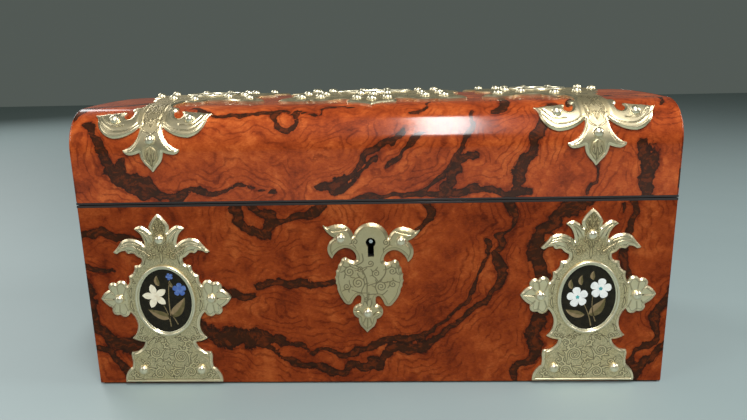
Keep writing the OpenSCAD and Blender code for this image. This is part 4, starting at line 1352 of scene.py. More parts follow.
@dataclass(frozen=True)
class Scroll:
    """An engraved tendril that curls into a spiral, with leaves on its outside.

    It has a centre, an outer radius, a hand (1 anticlockwise), the angle in degrees where the
    spiral starts, a tail as a multiple of the radius, a number of leaves, the tendril's half
    width, and the pitch from one turn to the next.
    """

    x: float
    y: float
    radius: float
    hand: int = 1
    start: float = 90
    tail: float = 1.3
    leaves: int = 4
    width: float = 0.55
    pitch: float = 2.3

    def ribbons(self) -> list[Ribbon]:
        """The tendril, its bud and its leaves.

        The radius falls evenly along the turns, by one pitch at each.

        Returns:
            The ribbons.
        """
        turns = (self.radius - 0.3) / self.pitch
        u = np.linspace(0, 1, math.ceil(18 * turns) + 4)
        curl = self.at(self.hand * 2 * math.pi * turns * u, self.radius - (self.radius - 0.4) * u)
        origin, way = curl[0], self.heading(0)
        out = (origin - [self.x, self.y]) / self.radius
        v = np.linspace(1, 0, 9)[:-1, None]
        reach = self.tail * self.radius
        stem = origin - way * reach * v + out * 0.3 * reach * v**2
        line = np.vstack([stem, curl])
        width = self.width * np.interp(np.linspace(0, 1, len(line)), [0, 0.2, 0.6, 1], [0.35, 1, 0.9, 0.55])
        bud = (np.vstack([curl[-1], curl[-1] + 0.02]), np.full(2, 1.3 * self.width))
        return [(line, width), bud, *[self.leaf(i) for i in range(self.leaves)]]

    def at(self, angle: Array | float, radius: Array | float) -> Array:
        """Points at angles from the start and distances from the centre."""
        turn = math.radians(self.start) + np.asarray(angle)
        return np.stack([self.x + radius * np.cos(turn), self.y + radius * np.sin(turn)], -1)

    def heading(self, angle: float) -> Array:
        """The way that the tendril runs at an angle from the start."""
        turn = math.radians(self.start) + angle
        return self.hand * np.array([-math.sin(turn), math.cos(turn)])

    def leaf(self, index: int) -> Ribbon:
        """A teardrop that bends away from the outer turn.

        Args:
            index: Which leaf, counted from the start.

        Returns:
            The leaf.
        """
        angle = self.hand * 2 * math.pi * (0.04 + 0.52 * index / max(self.leaves, 1))
        root = self.at(angle, self.radius)
        way = self.heading(angle)
        out = (root - [self.x, self.y]) / self.radius
        length = 0.42 * self.radius + 0.7
        v = np.linspace(0, 1, 7)
        line = root + length * (way * (v - 0.25 * v**2)[:, None] + out * (0.8 * v**1.6)[:, None])
        return line, self.width * 1.1 * np.sin(math.pi * (0.12 + 0.86 * v**0.8))


def tendrils(scrolls: list[Scroll]) -> list[Ribbon]:
    """All ribbons of some scrolls."""
    return [ribbon for scroll in scrolls for ribbon in scroll.ribbons()]


def plume(path: list[Spot], width: float) -> Ribbon:
    """A leaf along a path, widest at the middle."""
    line = flowing(np.array(path, float))
    return line, width * np.sin(math.pi * np.linspace(0.06, 0.97, len(line)))


def laid_out(ribbons: list[Ribbon], flip: tuple[int, int] = (1, 1), rise: float = 0) -> list[Ribbon]:
    """Ribbons shifted along y and then turned over where a flip is -1."""
    return [((line + [0, rise]) * flip, width) for line, width in ribbons]


def paired(scrolls: list[Scroll], plumes: list[Ribbon], rise: float = 0, ends: bool = False) -> list[Ribbon]:
    """Ribbons with their mirror images across x = 0.

    Args:
        scrolls: Scrolls of one side.
        plumes: Leaves of one side.
        rise: Shift along y before they are turned over.
        ends: Whether they are mirrored across y = 0 too.

    Returns:
        All ribbons.
    """
    drawn = tendrils(scrolls) + plumes
    flips = [(1, 1), (-1, 1)] + ([(1, -1), (-1, -1)] if ends else [])
    return [ribbon for flip in flips for ribbon in laid_out(drawn, flip, rise)]


@dataclass
class Mount:
    """A bevelled and engraved metal mount."""

    name: str
    region: Region
    place: Place
    thickness: float
    ribbons: list[Ribbon]
    ribs: Paths = field(default_factory=list)
    ground: Callable[[Array], Array] | None = None
    step: float = 0.28
    bevel_w: float = 1.3
    bevel_drop: float = 0.8
    rib_w: float = 0.3
    rib_depth: float = 0.3
    sunk: float = 0.09
    finish: Finish = Finish.ENGRAVED

    def build(self, body: str, node: str) -> None:
        """Makes the mount from a grid in its own plane, and fits it.

        The height is the full thickness less the bevel, which falls along a smooth step
        near the edge, less each rib, a bell-shaped groove along its path, and less the
        sinking of the ground between the ribbons.

        Args:
            body: Body that it rides on.
            node: CAD node that it stands for.
        """
        flat, faces, _, outer = self.region.grid(self.step)
        lift = self.thickness - self.bevel_drop * (1 - smooth((outer / self.bevel_w + 0.15) / 1.15))
        rib = np.zeros(len(flat))
        if self.ribs:
            paths = [flowing(np.array(path, float)) for path in self.ribs]
            starts, ends = np.vstack([q[:-1] for q in paths]), np.vstack([q[1:] for q in paths])
            gap = nearest_on_segments(flat, starts, ends)[0]
            rib = np.exp(-((gap / self.rib_w) ** 2)) * smooth(outer / 0.8)
        ground = self.ground(flat) if self.ground else np.ones(len(flat))
        ribbon = ribbon_field(flat, self.ribbons)
        lift -= self.rib_depth * rib + self.sunk * ground * smooth(ribbon / 0.3) * smooth((outer - 1) / 0.7)
        points, closed = closed_shell(self.place(flat, lift), self.place(flat, 0 * lift), faces)
        plan = np.column_stack([flat, outer])
        work = np.column_stack([ribbon, rib, ground])
        marks = {"plan": np.tile(plan, (2, 1)), "work": np.tile(work, (2, 1))}
        fit(make_object(self.name, points, closed, marks, 30), body, self.finish, node)


def both_ribs(ribs: Paths) -> Paths:
    """Ribs with their mirror images."""
    return ribs + [[(-x, y) for x, y in path] for path in ribs]


def tube_ring(middle: Array, half: Array, profile: Array, place: Place, count: int = 168) -> Shell:
    """A closed ring whose profile runs round an ellipse.

    Args:
        middle: Centre of the ellipse in the flat.
        half: Half axes of the ellipse.
        profile: Distance outwards and height of each profile point, run anticlockwise.
        place: Lays flat points and heights in space.
        count: Points round the ring.

    Returns:
        Points and faces.
    """
    out = half[None, None, :] + profile[:, None, 0:1]
    flat = middle + circle(count)[None] * out
    lift = np.repeat(profile[:, 1], count)
    points = place(flat.reshape(-1, 2), lift)
    rings = lattice(count, len(profile), wrap=True)
    last = (len(profile) - 1) * count
    i = np.arange(count)
    k = (i + 1) % count
    close = np.column_stack([last + i, last + k, k, i])
    return points, [np.vstack([rings, close])]


@dataclass
class Plaque:
    """An oval stone in a bezel, with stone flowers let into it."""

    centre: Spot
    half: Spot
    place: Place
    base: float

    def bezel(self) -> Shell:
        """A stepped and rounded rim: a narrow fillet, a hollow and a round bead.

        Returns:
            Points and faces.
        """
        w, h = CASKET.bezel_w, CASKET.bezel_h
        bead = np.linspace(0, math.pi, 11)
        middle, reach = 0.66 * w, 0.34 * w
        arc = np.column_stack([middle - reach * np.cos(bead), 0.35 * h + 0.65 * h * np.sin(bead)])
        head = np.array([[0.0, 0.0], [0.0, 0.32], [0.12, 0.42], [0.3, 0.42]])
        foot = np.array([[w, 0.0]])
        profile = np.vstack([head, arc, foot])[::-1]
        lifted = profile + np.array([0.0, self.base])
        return tube_ring(np.array(self.centre), np.array(self.half), lifted, self.place)

    def stone(self, lap: float = 0.58) -> Shell:
        """A flat oval in rings round its centre, level with the mount's full thickness.

        Args:
            lap: How far it runs under the bezel.

        Returns:
            Points and faces.
        """
        rings = np.linspace(0, 1, 9)[1:]
        around = 96
        half = np.array(self.half) + lap
        flat = np.vstack([[[0, 0]], *[circle(around) * half * r for r in rings]]) + self.centre
        rest = lattice(around, len(rings), wrap=True)[:, ::-1] + 1
        top = self.place(flat, np.full(len(flat), self.base))
        return closed_shell(top, self.place(flat, np.zeros(len(flat))), [fan(around), rest])


@dataclass(frozen=True)
class Blossom:
    """A five-petalled flower."""

    x: float
    y: float
    reach: float
    turn: float
    pointed: bool = False
    petals: int = 5

    def outline(self) -> Array:
        """Radius against angle, a power of a tent for pointed petals and a fuller one for round.

        Returns:
            Points of the edge.
        """
        count = 40 * self.petals
        angle = np.linspace(0, 2 * math.pi, count, endpoint=False)
        share = (angle * self.petals / (2 * math.pi) + 0.5) % 1 * 2 - 1
        if self.pointed:
            radius = 0.3 + 0.7 * (1 - np.abs(share)) ** 0.62
        else:
            radius = 0.4 + 0.6 * np.maximum(1 - np.abs(share) ** 2.6, 0) ** 0.55
        around = angle + math.radians(self.turn + 90)
        return np.column_stack([self.x + self.reach * radius * np.cos(around),
                                self.y + self.reach * radius * np.sin(around)])


FLOWER_PAIR = [Blossom(-5.4, 0.1, 5.4, 10), Blossom(6, 4.6, 5.4, -8)]


def hearts(flowers: list[Blossom]) -> list[Blossom]:
    """The small round middles of some flowers."""
    return [Blossom(f.x, f.y, 1.0, 0) for f in flowers]


@dataclass(frozen=True)
class Spray:
    """A leaf or stem: a bent spine with a width that swells and tapers."""

    start: Spot
    bend: Spot
    end: Spot
    width: float
    stem: bool = False


@dataclass
class Inlay:
    """Stone pieces let flush into one plaque."""

    plaque: Plaque
    proud: float = 0.03
    depth: float = 0.7

    def laid(self, flat: Array) -> tuple[Array, Array]:
        """Top and bottom points of a piece, laid out from the plaque's centre.

        Args:
            flat: Flat places.

        Returns:
            The two sets of points.
        """
        points = flat + np.array(self.plaque.centre)
        top = np.full(len(flat), self.plaque.base + self.proud)
        return self.plaque.place(points, top), self.plaque.place(points, top - self.depth)

    def blossom(self, flower: Blossom) -> Shell:
        """A fan of faces round the flower's middle.

        Args:
            flower: The flower.

        Returns:
            Points and faces.
        """
        rim = flower.outline()
        flat = np.vstack([[[flower.x, flower.y]], rim])
        return closed_shell(*self.laid(flat), [fan(len(rim))])

    def spray(self, leaf: Spray) -> tuple[Array, list[Array], Array]:
        """A strip along a quadratic curve.

        Args:
            leaf: The leaf or stem.

        Returns:
            Points, faces, and each point's side, from -1 to 1.
        """
        u = np.linspace(0, 1, 28)[:, None]
        a, b, c = (np.array(p, float) for p in (leaf.start, leaf.bend, leaf.end))
        spine = (1 - u) ** 2 * a + 2 * u * (1 - u) * b + u**2 * c
        way = 2 * (1 - u) * (b - a) + 2 * u * (c - b)
        across = np.column_stack([-way[:, 1], way[:, 0]]) / np.linalg.norm(way, axis=1)[:, None]
        if leaf.stem:
            half = leaf.width * (1.15 - 0.5 * u)
        else:
            half = leaf.width * np.sin(math.pi * np.clip(u, 0.004, 0.996) ** 0.8) ** 0.85
        v = np.linspace(-1, 1, 5)
        flat = (spine[:, None, :] + across[:, None, :] * (half[:, :, None] * v[None, :, None])).reshape(-1, 2)
        quads = lattice(5, 28)[:, ::-1]
        points, faces = closed_shell(*self.laid(flat), [quads])
        return points, faces, np.tile(np.tile(v, 28), 2)


def joined(parts: list[Shell]) -> Shell:
    """Several meshes as one.

    Args:
        parts: Points and faces of each.

    Returns:
        Points and faces.
    """
    points, faces, start = [], [], 0
    for p, f in parts:
        points.append(p)
        faces += [g + start for g in f]
        start += len(p)
    return np.vstack(points), faces


def blossoms(name: str, body: str, finish: Finish, inlays: list[tuple[Inlay, list[Blossom]]],
             *nodes: str) -> None:
    """All flowers of one stone as one piece."""
    points, faces = joined([inlay.blossom(f) for inlay, flowers in inlays for f in flowers])
    fit(make_object(name, points, faces), body, finish, *nodes)


def sprays(name: str, body: str, inlays: list[tuple[Inlay, list[Spray]]], *nodes: str) -> None:
    """All leaves and stems as one piece, each half of a leaf marked.

    Args:
        name: Name of the piece.
        body: Body that it rides on.
        inlays: The leaves of each plaque.
        *nodes: CAD nodes that it stands for.
    """
    made = [inlay.spray(leaf) for inlay, leaves in inlays for leaf in leaves]
    points, faces = joined([(p, f) for p, f, _ in made])
    marks = {"half": np.concatenate([m for _, _, m in made])}
    fit(make_object(name, points, faces, marks), body, Finish.LEAF, *nodes)


@dataclass
class Studs:
    """Domed nail heads with a fine collar."""

    radius: float = 2.7
    height: float = 2.2
    around: int = 28

    def head(self) -> Shell:
        """One head about the origin: a profile turned round Z, closed at the pole and the foot.

        Returns:
            Points and faces.
        """
        rise = np.linspace(0, math.pi / 2, 8)[:-1]
        r, h = self.radius, self.height
        dome = np.column_stack([0.93 * r * np.cos(rise), 0.3 + (h - 0.3) * np.sin(rise)])
        profile = np.vstack([[[r * 0.98, -0.3]], [[r, 0.12]], [[r * 0.98, 0.28]], dome])
        ring = circle(self.around)
        rows = [np.column_stack([ring * p[0], np.full(self.around, p[1])]) for p in profile]
        points = np.vstack([*rows, [[0, 0, h]], [[0, 0, -0.3]]])
        n = self.around
        quads = lattice(n, len(profile), wrap=True)
        i, k = np.arange(n), (np.arange(n) + 1) % n
        last = (len(profile) - 1) * n
        top = np.column_stack([last + i, last + k, np.full(n, len(points) - 2)])
        foot = np.column_stack([k, i, np.full(n, len(points) - 1)])
        return points, [quads, np.vstack([top, foot])]

    def build(self, name: str, body: str, flats: list[tuple[Array, Place, float]], node: str) -> None:
        """Sets a head at every place.

        Args:
            name: Name of the piece.
            body: Body that it rides on.
            flats: Flat places, what lays them and the height that they stand at.
            node: CAD node that it stands for.
        """
        head, head_faces = self.head()
        parts = []
        for flat, place, lift in flats:
            origin = place(flat, np.full(len(flat), lift))
            out = place(flat, np.full(len(flat), lift + 1)) - origin
            x = np.tile([1.0, 0, 0], (len(flat), 1))
            y = np.cross(out, x)
            axes = np.stack([x, y, out], axis=1)
            points = origin[:, None, :] + np.einsum("pk,nkc->npc", head, axes)
            parts += [(cloud, head_faces) for cloud in points]
        points, faces = joined(parts)
        fit(make_object(name, points, faces, sharp=50), body, Finish.POLISHED, node)


# Outlines of half mounts as x, y and the next side's bulge, and what is engraved on them
PLATE_RUN: Run = [
    (0, 93.2, 0.12), (5.1, 86.9, 0.2), (4.3, 83.5, 0.12), (9, 87, 0.2), (12.9, 85.3, -0.2),
    (8.9, 80.4, -0.1), (8.3, 76.8, 0.18), (14.1, 80.1, 0.24), (20.4, 78.5, -0.06),
    (24.9, 73.1, 0.2), (22.9, 72.4, -0.2), (18.6, 73.9, 0.3), (16.8, 72.3, -0.25),
    (14.2, 72.3, 0.15), (10.6, 69.7, -0.35), (12.3, 66.1, 0.1), (14.7, 65.7, -0.36),
    (18.3, 60.2, -0.3), (19.6, 55, 0.74), (25.3, 56.2, 0.78), (29.4, 52.8, 0.18),
    (34.2, 48.1, 0.18), (28.7, 42.7, 0.8), (25.2, 39.1, 0.72), (19.9, 40.4, -0.48),
    (20.1, 25.6, 0.15), (13.5, 23.4, -0.38), (21.3, 17.7, 0.1), (21.8, 14.5, -0.12),
    (21.9, 9.1, 0.27), (26.4, 0.4, 0), (26.4, 0, 0), (0, 0, 0),
]
FOOT_SCROLLS = [
    Scroll(-5.2, 15.2, 4.3, -1, 190, 1.3, 5), Scroll(8.2, 17.6, 3.6, 1, 200, 1.2, 4),
    Scroll(6.8, 5.4, 3.5, -1, 150, 1.5, 4), Scroll(-9.6, 6.2, 3.3, 1, 20, 1.4, 4),
    Scroll(13.4, 10.6, 2.7, 1, 250, 1.1, 3), Scroll(-13.2, 12.2, 2.4, -1, 60, 1, 3),
    Scroll(-2.2, 5.6, 2.6, -1, 100, 1.1, 4), Scroll(-9.8, 21.6, 2.3, -1, 80, 1, 3),
    Scroll(1.8, 22.2, 1.9, 1, 280, 1, 3), Scroll(19.6, 4.4, 2, 1, 270, 2.4, 3),
    Scroll(-19.4, 4.4, 2, -1, 270, 2.4, 3), Scroll(1.6, 11.4, 2, 1, 60, 1.2, 3),
]
PLATE_SCROLLS = [
    Scroll(5.6, 25.2, 1.7, -1, 120, 1.2, 3, 0.4, 1.6), Scroll(12.6, 25.6, 2.2, 1, 220, 1.3, 3, 0.45, 1.8),
    Scroll(16.4, 30.6, 1.7, 1, 200, 1.5, 3, 0.4, 1.6), Scroll(18, 36.6, 1.4, -1, 340, 1.2, 2, 0.36, 1.5),
    Scroll(17.2, 58.4, 1.7, -1, 20, 1.2, 3, 0.4, 1.6), Scroll(12.3, 66.3, 1.9, 1, 330, 1.2, 3, 0.4, 1.6),
    Scroll(6.4, 70.8, 2.5, 1, 350, 1.4, 4, 0.4, 1.7), Scroll(2.3, 76.2, 1.6, -1, 200, 1.4, 2, 0.36, 1.5),
    Scroll(10.4, 74.8, 1.5, -1, 60, 1, 2, 0.36, 1.5),
]
PLATE_PLUMES = [
    plume([(17.4, 41), (18.4, 44), (18.2, 47)], 0.5), plume([(17.4, 54), (18.4, 51), (18.2, 48.4)], 0.5),
    plume([(0, 67.6), (0, 70.4), (0, 73.6)], 0.6), plume([(0.7, 81.4), (1.9, 83.2), (2.1, 85.6)], 0.32),
    plume([(0.6, 84), (1.4, 85.4), (1.5, 87.2)], 0.28), plume([(21.4, 47.4), (24.4, 47.6), (28, 47.8)], 0.4),
    plume([(11.8, 84.2), (9, 82.6), (6.6, 79)], 0.34), plume([(20.6, 73), (17, 74.2), (13, 73)], 0.36),
    plume([(17.4, 71), (14.6, 72), (11, 70.6)], 0.32),
]
PLATE_RIBS = [
    [(0, 90.5), (0, 84)], [(2.6, 86.6), (1.2, 84.5)], [(11.6, 85.2), (8.6, 84.3), (5.6, 81.2), (3.6, 77)],
    [(22.6, 73.8), (19.6, 76.2), (15, 76.8), (9.6, 74.2), (6, 71.5)],
    [(19.4, 77.3), (15, 78.4), (10.6, 76.8)], [(24.7, 51.4), (25.2, 55.8)], [(26.8, 50.4), (29, 52.6)],
    [(26.8, 45), (28.5, 42.9)], [(24.6, 44.2), (25.1, 39.6)], [(28, 47.8), (33, 48)],
    [(21.8, 50.6), (20.4, 54.2)], [(21.8, 45), (20.4, 41.2)], [(20.9, 16.2), (17.6, 18), (15, 21)],
    [(20.3, 12.6), (18, 15)], [(24.9, 1.6), (0, 1.6)], [(16.6, 64.4), (14.6, 62.6)],
    [(18.4, 60), (16.4, 58.6)], [(18.6, 27.2), (16.6, 28.4)],
]

ESCUTCHEON_RUN: Run = [
    (0, 10.1, 0.33), (8.9, 3, 0.29), (15, 8.6, 0.12), (22, 6.9, -0.2), (24.7, 8, 0.2),
    (18.3, 1.4, 0.54), (19.3, -9.6, -0.25), (13.5, -3.7, -0.5), (6.9, -9.4, -0.3),
    (9.1, -10.1, -0.15), (12.1, -8.6, 0.3), (14.7, -10.1, -0.2), (16.1, -12.8, -0.2),
    (17.2, -16.2, -0.2), (17.6, -19.7, -0.2), (17.1, -22.7, -0.2), (16.2, -25.9, 0.1),
    (12.7, -32.5, 0.3), (9.9, -34, 0.3), (8.1, -32.2, -0.1), (6, -29, -0.7), (3.7, -30.2, -0.1),
    (4, -33.2, 0.85), (4.6, -41.3, 0.2), (3, -46, -0.05), (0, -49.2, 0),
]
ESCUTCHEON_SCROLLS = [
    Scroll(0.3, -11, 1.7, 1, 270, 2.4, 0, 0.08, 1.1), Scroll(-5.6, -21.8, 3.4, 1, 330, 1.5, 4, 0.08, 1.5),
    Scroll(-10.2, -16, 2.9, 1, 60, 1.7, 4, 0.08, 1.4), Scroll(6.2, -23.2, 3, -1, 210, 1.4, 4, 0.08, 1.4),
    Scroll(11.6, -14.6, 2.3, -1, 130, 1.4, 3, 0.08, 1.3), Scroll(3.4, -16.2, 2.1, -1, 240, 1.3, 3, 0.08, 1.2),
    Scroll(12.2, -21.6, 2, 1, 60, 1.2, 3, 0.08, 1.2), Scroll(-11.4, -24, 2, -1, 30, 1.2, 3, 0.08, 1.2),
    Scroll(7.8, 0.4, 2, 1, 300, 1.4, 2, 0.08, 1.1), Scroll(-8, 0, 1.8, -1, 240, 1.3, 2, 0.08, 1.1),
    Scroll(-4.6, -14.2, 1.8, -1, 330, 1.2, 2, 0.08, 1.1), Scroll(-1.2, -30.4, 1.4, 1, 240, 1.6, 2, 0.08, 1),
]
ESCUTCHEON_STEMS = [
    plume([(-0.4, -34), (-0.9, -26), (-1.4, -19.8), (-4.6, -14), (-9.8, -11.8)], 0.12),
    plume([(-0.6, -23), (4.9, -20.4), (8.2, -15.4), (7.2, -8.4), (6.4, -2.4)], 0.12),
    plume([(-0.8, -28), (3, -27.4), (6.8, -27.6), (9.6, -25)], 0.1),
    plume([(-0.8, -27), (-4.6, -27), (-8.8, -25.8)], 0.1), plume([(0.4, -36), (1.6, -33), (1.2, -30)], 0.1),
    plume([(-4.2, -6), (-3.6, -10), (-6.8, -12.4)], 0.1),
]
ESCUTCHEON_RIBS = [
    [(23.6, 7.3), (20.4, 5), (16.8, 5.2), (12.6, 6.2)], [(19, -8), (20.2, -4.6), (19.6, -1.6), (17.4, 0.4)],
    [(7.8, -37.6), (4.6, -37.2), (2.6, -39.2)], [(0, -46.6), (0, -41)], [(2.2, -43.6), (1.2, -41)],
    [(0, -27), (0, -29.6)],
]

FINIAL_RUN: Run = [
    (7.3, 58, 0), (7.3, 53.2, -0.2), (8.6, 51, 0.5), (11.6, 49.4, 0.35),
    (10.3, 46.8, -0.2), (10.3, 44.4, -0.35), (12.6, 42.2, -0.4), (14.9, 44.2, -0.15),
    (13.9, 46.6, 0.45), (16.6, 46.9, -0.05), (21, 46.2, 0.1), (25, 45.6, -0.12),
    (29.7, 45.2, -0.15), (27.4, 41.8, 0.35), (18.6, 32, 0.21), (5.6, 37.6, -0.38),
    (14.2, 26.3, 0.3), (10.8, 23.9, 0.1), (5.8, 25.2, 0.18), (3.6, 19.4, -0.05), (0, 15.2, 0),
]
FINIAL_RIBS = [
    [(28.6, 44.4), (24.6, 39.4), (18.6, 35.4), (10.6, 36.4), (6.6, 39.4)],
    [(25, 43.2), (20.6, 38.6), (14, 38.4)], [(13.2, 26), (9.6, 26.6), (6.2, 31), (4.4, 36)],
    [(0, 16.6), (0, 27)], [(3.4, 21.6), (1.8, 25.6)], [(3.8, 38), (4.6, 46), (4.6, 56)],
    [(10.6, 50), (8.6, 52), (6.4, 56)],
]
FINIAL_SCROLLS = [
    Scroll(2.6, 40, 1.8, -1, 180, 1.6, 3, 0.34), Scroll(2.6, 47, 1.8, 1, 180, 1.6, 3, 0.34),
    Scroll(2.8, 53.2, 1.7, -1, 180, 1.4, 3, 0.34),
]
FINIAL_PLUMES = [
    plume([(0, 18.4), (0, 21), (0, 24.4)], 0.5), plume([(0.9, 20.8), (1.9, 22.6), (1.6, 25.2)], 0.4),
    plume([(0.6, 34), (3.4, 35.4), (4.6, 38)], 0.4),
]
FINIAL_LEAF = [(0, 17.4), (2.2, 20.4), (3.2, 23.6), (2.4, 26.6), (0, 28.4)]

INWARD_RUN: Run = [
    (49, 0, 0.12), (38.5, -8, 0), (36.5, -10.5, 0.5), (41.5, -23, -0.2), (38.5, -27, 0.15),
    (51, -44, 0.22), (37, -43.5, 0), (35, -42, -0.42), (18.5, -37.5, 0.6),
    (9.4, -45, 0), (8.3, -44.4, -0.08), (7.3, -54, 0), (7.3, -66, 0),
]
OUTWARD_RUN: Run = [
    (22, 0, 0.12), (15.5, -8.5, 0.5), (16, -20.5, 0), (13.8, -22, -0.16), (12.4, -34.5, 0),
    (11, -36, -0.12), (7.3, -51, 0), (7.3, -66, 0),
]
CROWN_SCROLLS = [
    Scroll(-44, 37, 3.1, 1, 300), Scroll(-37, 31, 2.8, -1, 60), Scroll(-30, 26.5, 3.2, 1, 200),
    Scroll(-23.5, 32, 2.8, -1, 0), Scroll(-16, 29, 3.1, 1, 250), Scroll(-8, 24, 2.8, -1, 120),
    Scroll(-1, 27.5, 2.8, 1, 180), Scroll(7.6, 25, 2.8, -1, 90), Scroll(-3.4, 36, 2.6, 1, 0),
    Scroll(2.6, 44, 2.3, -1, 270), Scroll(12, 12, 2.5, 1, 300), Scroll(6, 8, 2.2, -1, 200),
    Scroll(16.4, 4, 2, 1, 60), Scroll(-34, 8, 2.7, 1, 90), Scroll(-41, 4, 2.4, -1, 300),
    Scroll(-32, 17, 2.5, 1, 150), Scroll(8.4, 33.6, 2.1, 1, 240), Scroll(-12, 37, 2, -1, 30),
    Scroll(-2, 53, 2.2, 1, 90), Scroll(2.6, 60, 1.9, -1, 240), Scroll(12.6, 19, 2.2, -1, 30),
]

CENTRE_RUN: Run = [
    (50, 0, 0.12), (41, -7, 0), (39.5, -9, 0.4), (44, -27, -0.2), (41.5, -30.5, 0.15),
    (49.5, -47, 0.2), (35, -49.5, 0), (33, -47.5, 0.5), (21, -46, -0.5),
    (11.5, -44.5, -0.2), (9.8, -48.5, 0.35), (12.4, -57, -0.12), (0, -62, 0),
]
CENTRE_SCROLLS = [
    Scroll(42.4, 42, 3, 1, 210), Scroll(35, 34, 3, -1, 60), Scroll(28, 32, 2.7, 1, 300),
    Scroll(22, 40, 2.7, -1, 150), Scroll(15, 36, 3, 1, 0), Scroll(7, 38, 2.9, -1, 200),
    Scroll(12, 27, 2.7, -1, 90), Scroll(20, 25.6, 2.5, 1, 240), Scroll(36, 12, 2.8, 1, 120),
    Scroll(29, 14, 2.5, -1, 330), Scroll(42, 4.6, 2.4, 1, 60), Scroll(3.4, 31, 2.2, 1, 270),
    Scroll(3.6, 46, 2.2, -1, 180), Scroll(4.2, 54, 2, 1, 90), Scroll(33, 23.6, 2.3, 1, 30),
    Scroll(29.6, 4.4, 2.2, 1, 200),
]


@dataclass
class FrontMounts:
    """The two tall plates with their plaques, and the escutcheon."""

    foot: float = 2.0
    oval_z: float = 46.8
    oval: Spot = (13.7, 17.3)
    keyhole: Spot = (-1.4, 79.0)
    tilt: float = 3.3
    studs: tuple[Spot, ...] = (
        (0, 79.9), (-24.2, 47.8), (24.2, 47.8), (-15.6, 7.8), (15.6, 7.8))
    key_studs: tuple[Spot, ...] = ((-15.2, 1.5), (15.2, 1.5), (0, -37.8))

    def build(self) -> None:
        """Makes the plates, the plaques and the escutcheon, and nails them."""
        plates = [self.plate("left", -1), self.plate("right", 1)]
        self.inlays(*plates)
        self.escutcheon()
        flats = [(np.array(self.studs, float) + [side * CASKET.mount_x, self.foot], CASKET.on_front,
                  CASKET.plate_t) for side in (-1, 1)]
        flats.append((np.array(self.key_studs, float), self.key_place, CASKET.plate_t))
        Studs().build("body_stud_heads", "body", flats, "body_studs")

    def plate(self, word: str, side: int) -> Plaque:
        """One plate, its bezel and its stone.

        Args:
            word: left or right.
            side: -1 or 1.

        Returns:
            The plaque, for the flowers.
        """
        c = CASKET
        shift = np.array([side * c.mount_x, self.foot])

        def place(flat: Array, lift: Array) -> Array:
            """Stands the plate's own plane on the front."""
            return c.on_front(flat + shift, lift)

        hole = oval_hole(self.oval) + [0, self.oval_z]
        region = Region([mirrored(run_points(PLATE_RUN))], [hole])
        ribbons = laid_out(tendrils(FOOT_SCROLLS), (side, 1)) + paired(PLATE_SCROLLS, PLATE_PLUMES)
        Mount(f"{word}_plate_engraved", region, place, c.plate_t, ribbons, both_ribs(PLATE_RIBS),
              self.worked).build("body", f"{word}_front_plate")
        plaque = Plaque((0, self.oval_z), self.oval, place, c.plate_t)
        fit(make_object(f"{word}_bezel_rim", *plaque.bezel()), "body", Finish.POLISHED, f"{word}_bezel")
        fit(make_object(f"{word}_stone_oval", *plaque.stone()), "body", Finish.BLACK, f"{word}_stone")
        return plaque

    def worked(self, flat: Array) -> Array:
        """How deeply the ground is worked: less on leaves and petals, more up the middle.

        Args:
            flat: Flat places.

        Returns:
            Shares of the full depth.
        """
        across, up = np.abs(flat[:, 0]), flat[:, 1]
        petals = smooth((across - 19.6) / 1.2) * smooth((up - 30) / 3)
        leaves = smooth((up - 77) / 3) * (1 - 0.9 * smooth((4.4 - across) / 1.4))
        wings = smooth((across - 12.5) / 2) * smooth((up - 70) / 2)
        core = smooth((4.2 - across) / 1.2) * smooth((up - 78.6) / 2)
        neck = smooth((9 - across) / 3) * smooth((up - 68) / 3) * smooth((80 - up) / 3)
        return 1 - np.maximum(np.maximum(petals, leaves), wings) + 1.5 * core + 0.6 * neck

    def inlays(self, left: Plaque, right: Plaque) -> None:
        """The flowers and leaves of both plaques.

        Args:
            left: The left plaque.
            right: The right plaque.
        """
        one, two = Inlay(left), Inlay(right)
        blossoms("cream_flower", "body", Finish.CREAM, [(one, [Blossom(-5.3, 2.5, 6.7, 14, True)])],
                 "cream_blossom")
        blossoms("blue_flowers", "body", Finish.BLUE,
                 [(one, [Blossom(7.7, 6.1, 3.6, 0), Blossom(3.1, 13.2, 1.9, 20)])], "blue_blossoms")
        blossoms("white_flowers", "body", Finish.WHITE, [(two, FLOWER_PAIR)], "white_blossoms")
        blossoms("teal_centres", "body", Finish.TEAL, [(Inlay(right, proud=0.06), hearts(FLOWER_PAIR))],
                 "teal_hearts")
        left_leaves = [
            Spray((1.6, -9.4), (-3.4, -8.6), (-9.6, -4.8), 2.2),
            Spray((2.0, -8.2), (6.4, -6.4), (10, 1.6), 2.7),
            Spray((-2.6, 8.2), (-4.6, 10.8), (-3.4, 13.8), 1.3),
            Spray((4.6, 7.4), (2.4, 8.8), (3.2, 11.2), 0.9),
            Spray((1.6, -14.4), (1.4, -8), (-1.2, -2.6), 0.28, True),
            Spray((5.4, -13.2), (3.8, -9.6), (2.2, -7.6), 0.28, True),
            Spray((2.0, -8.4), (1.2, 1.6), (2.8, 10.4), 0.28, True),
        ]
        right_leaves = [
            Spray((-1.4, -9.4), (-6.4, -9.8), (-11, -6.6), 1.9),
            Spray((0.8, -9.2), (5.6, -7.4), (8.6, -0.6), 2.8),
            Spray((-8.2, 4.6), (-10, 7), (-8.9, 9.6), 1.2), Spray((-3.6, 6.6), (-5, 9.2), (-3.5, 11.8), 1.2),
            Spray((2.2, 9.4), (1, 11.6), (2.1, 14), 1.2),
            Spray((2.2, -15.6), (1.2, -9.6), (-1.8, -4), 0.28, True),
            Spray((4.4, -13.2), (1.4, -6.4), (2.4, 1.4), 0.22, True),
        ]
        sprays("leaves_and_stems", "body", [(one, left_leaves), (two, right_leaves)], "leaf_inlays")

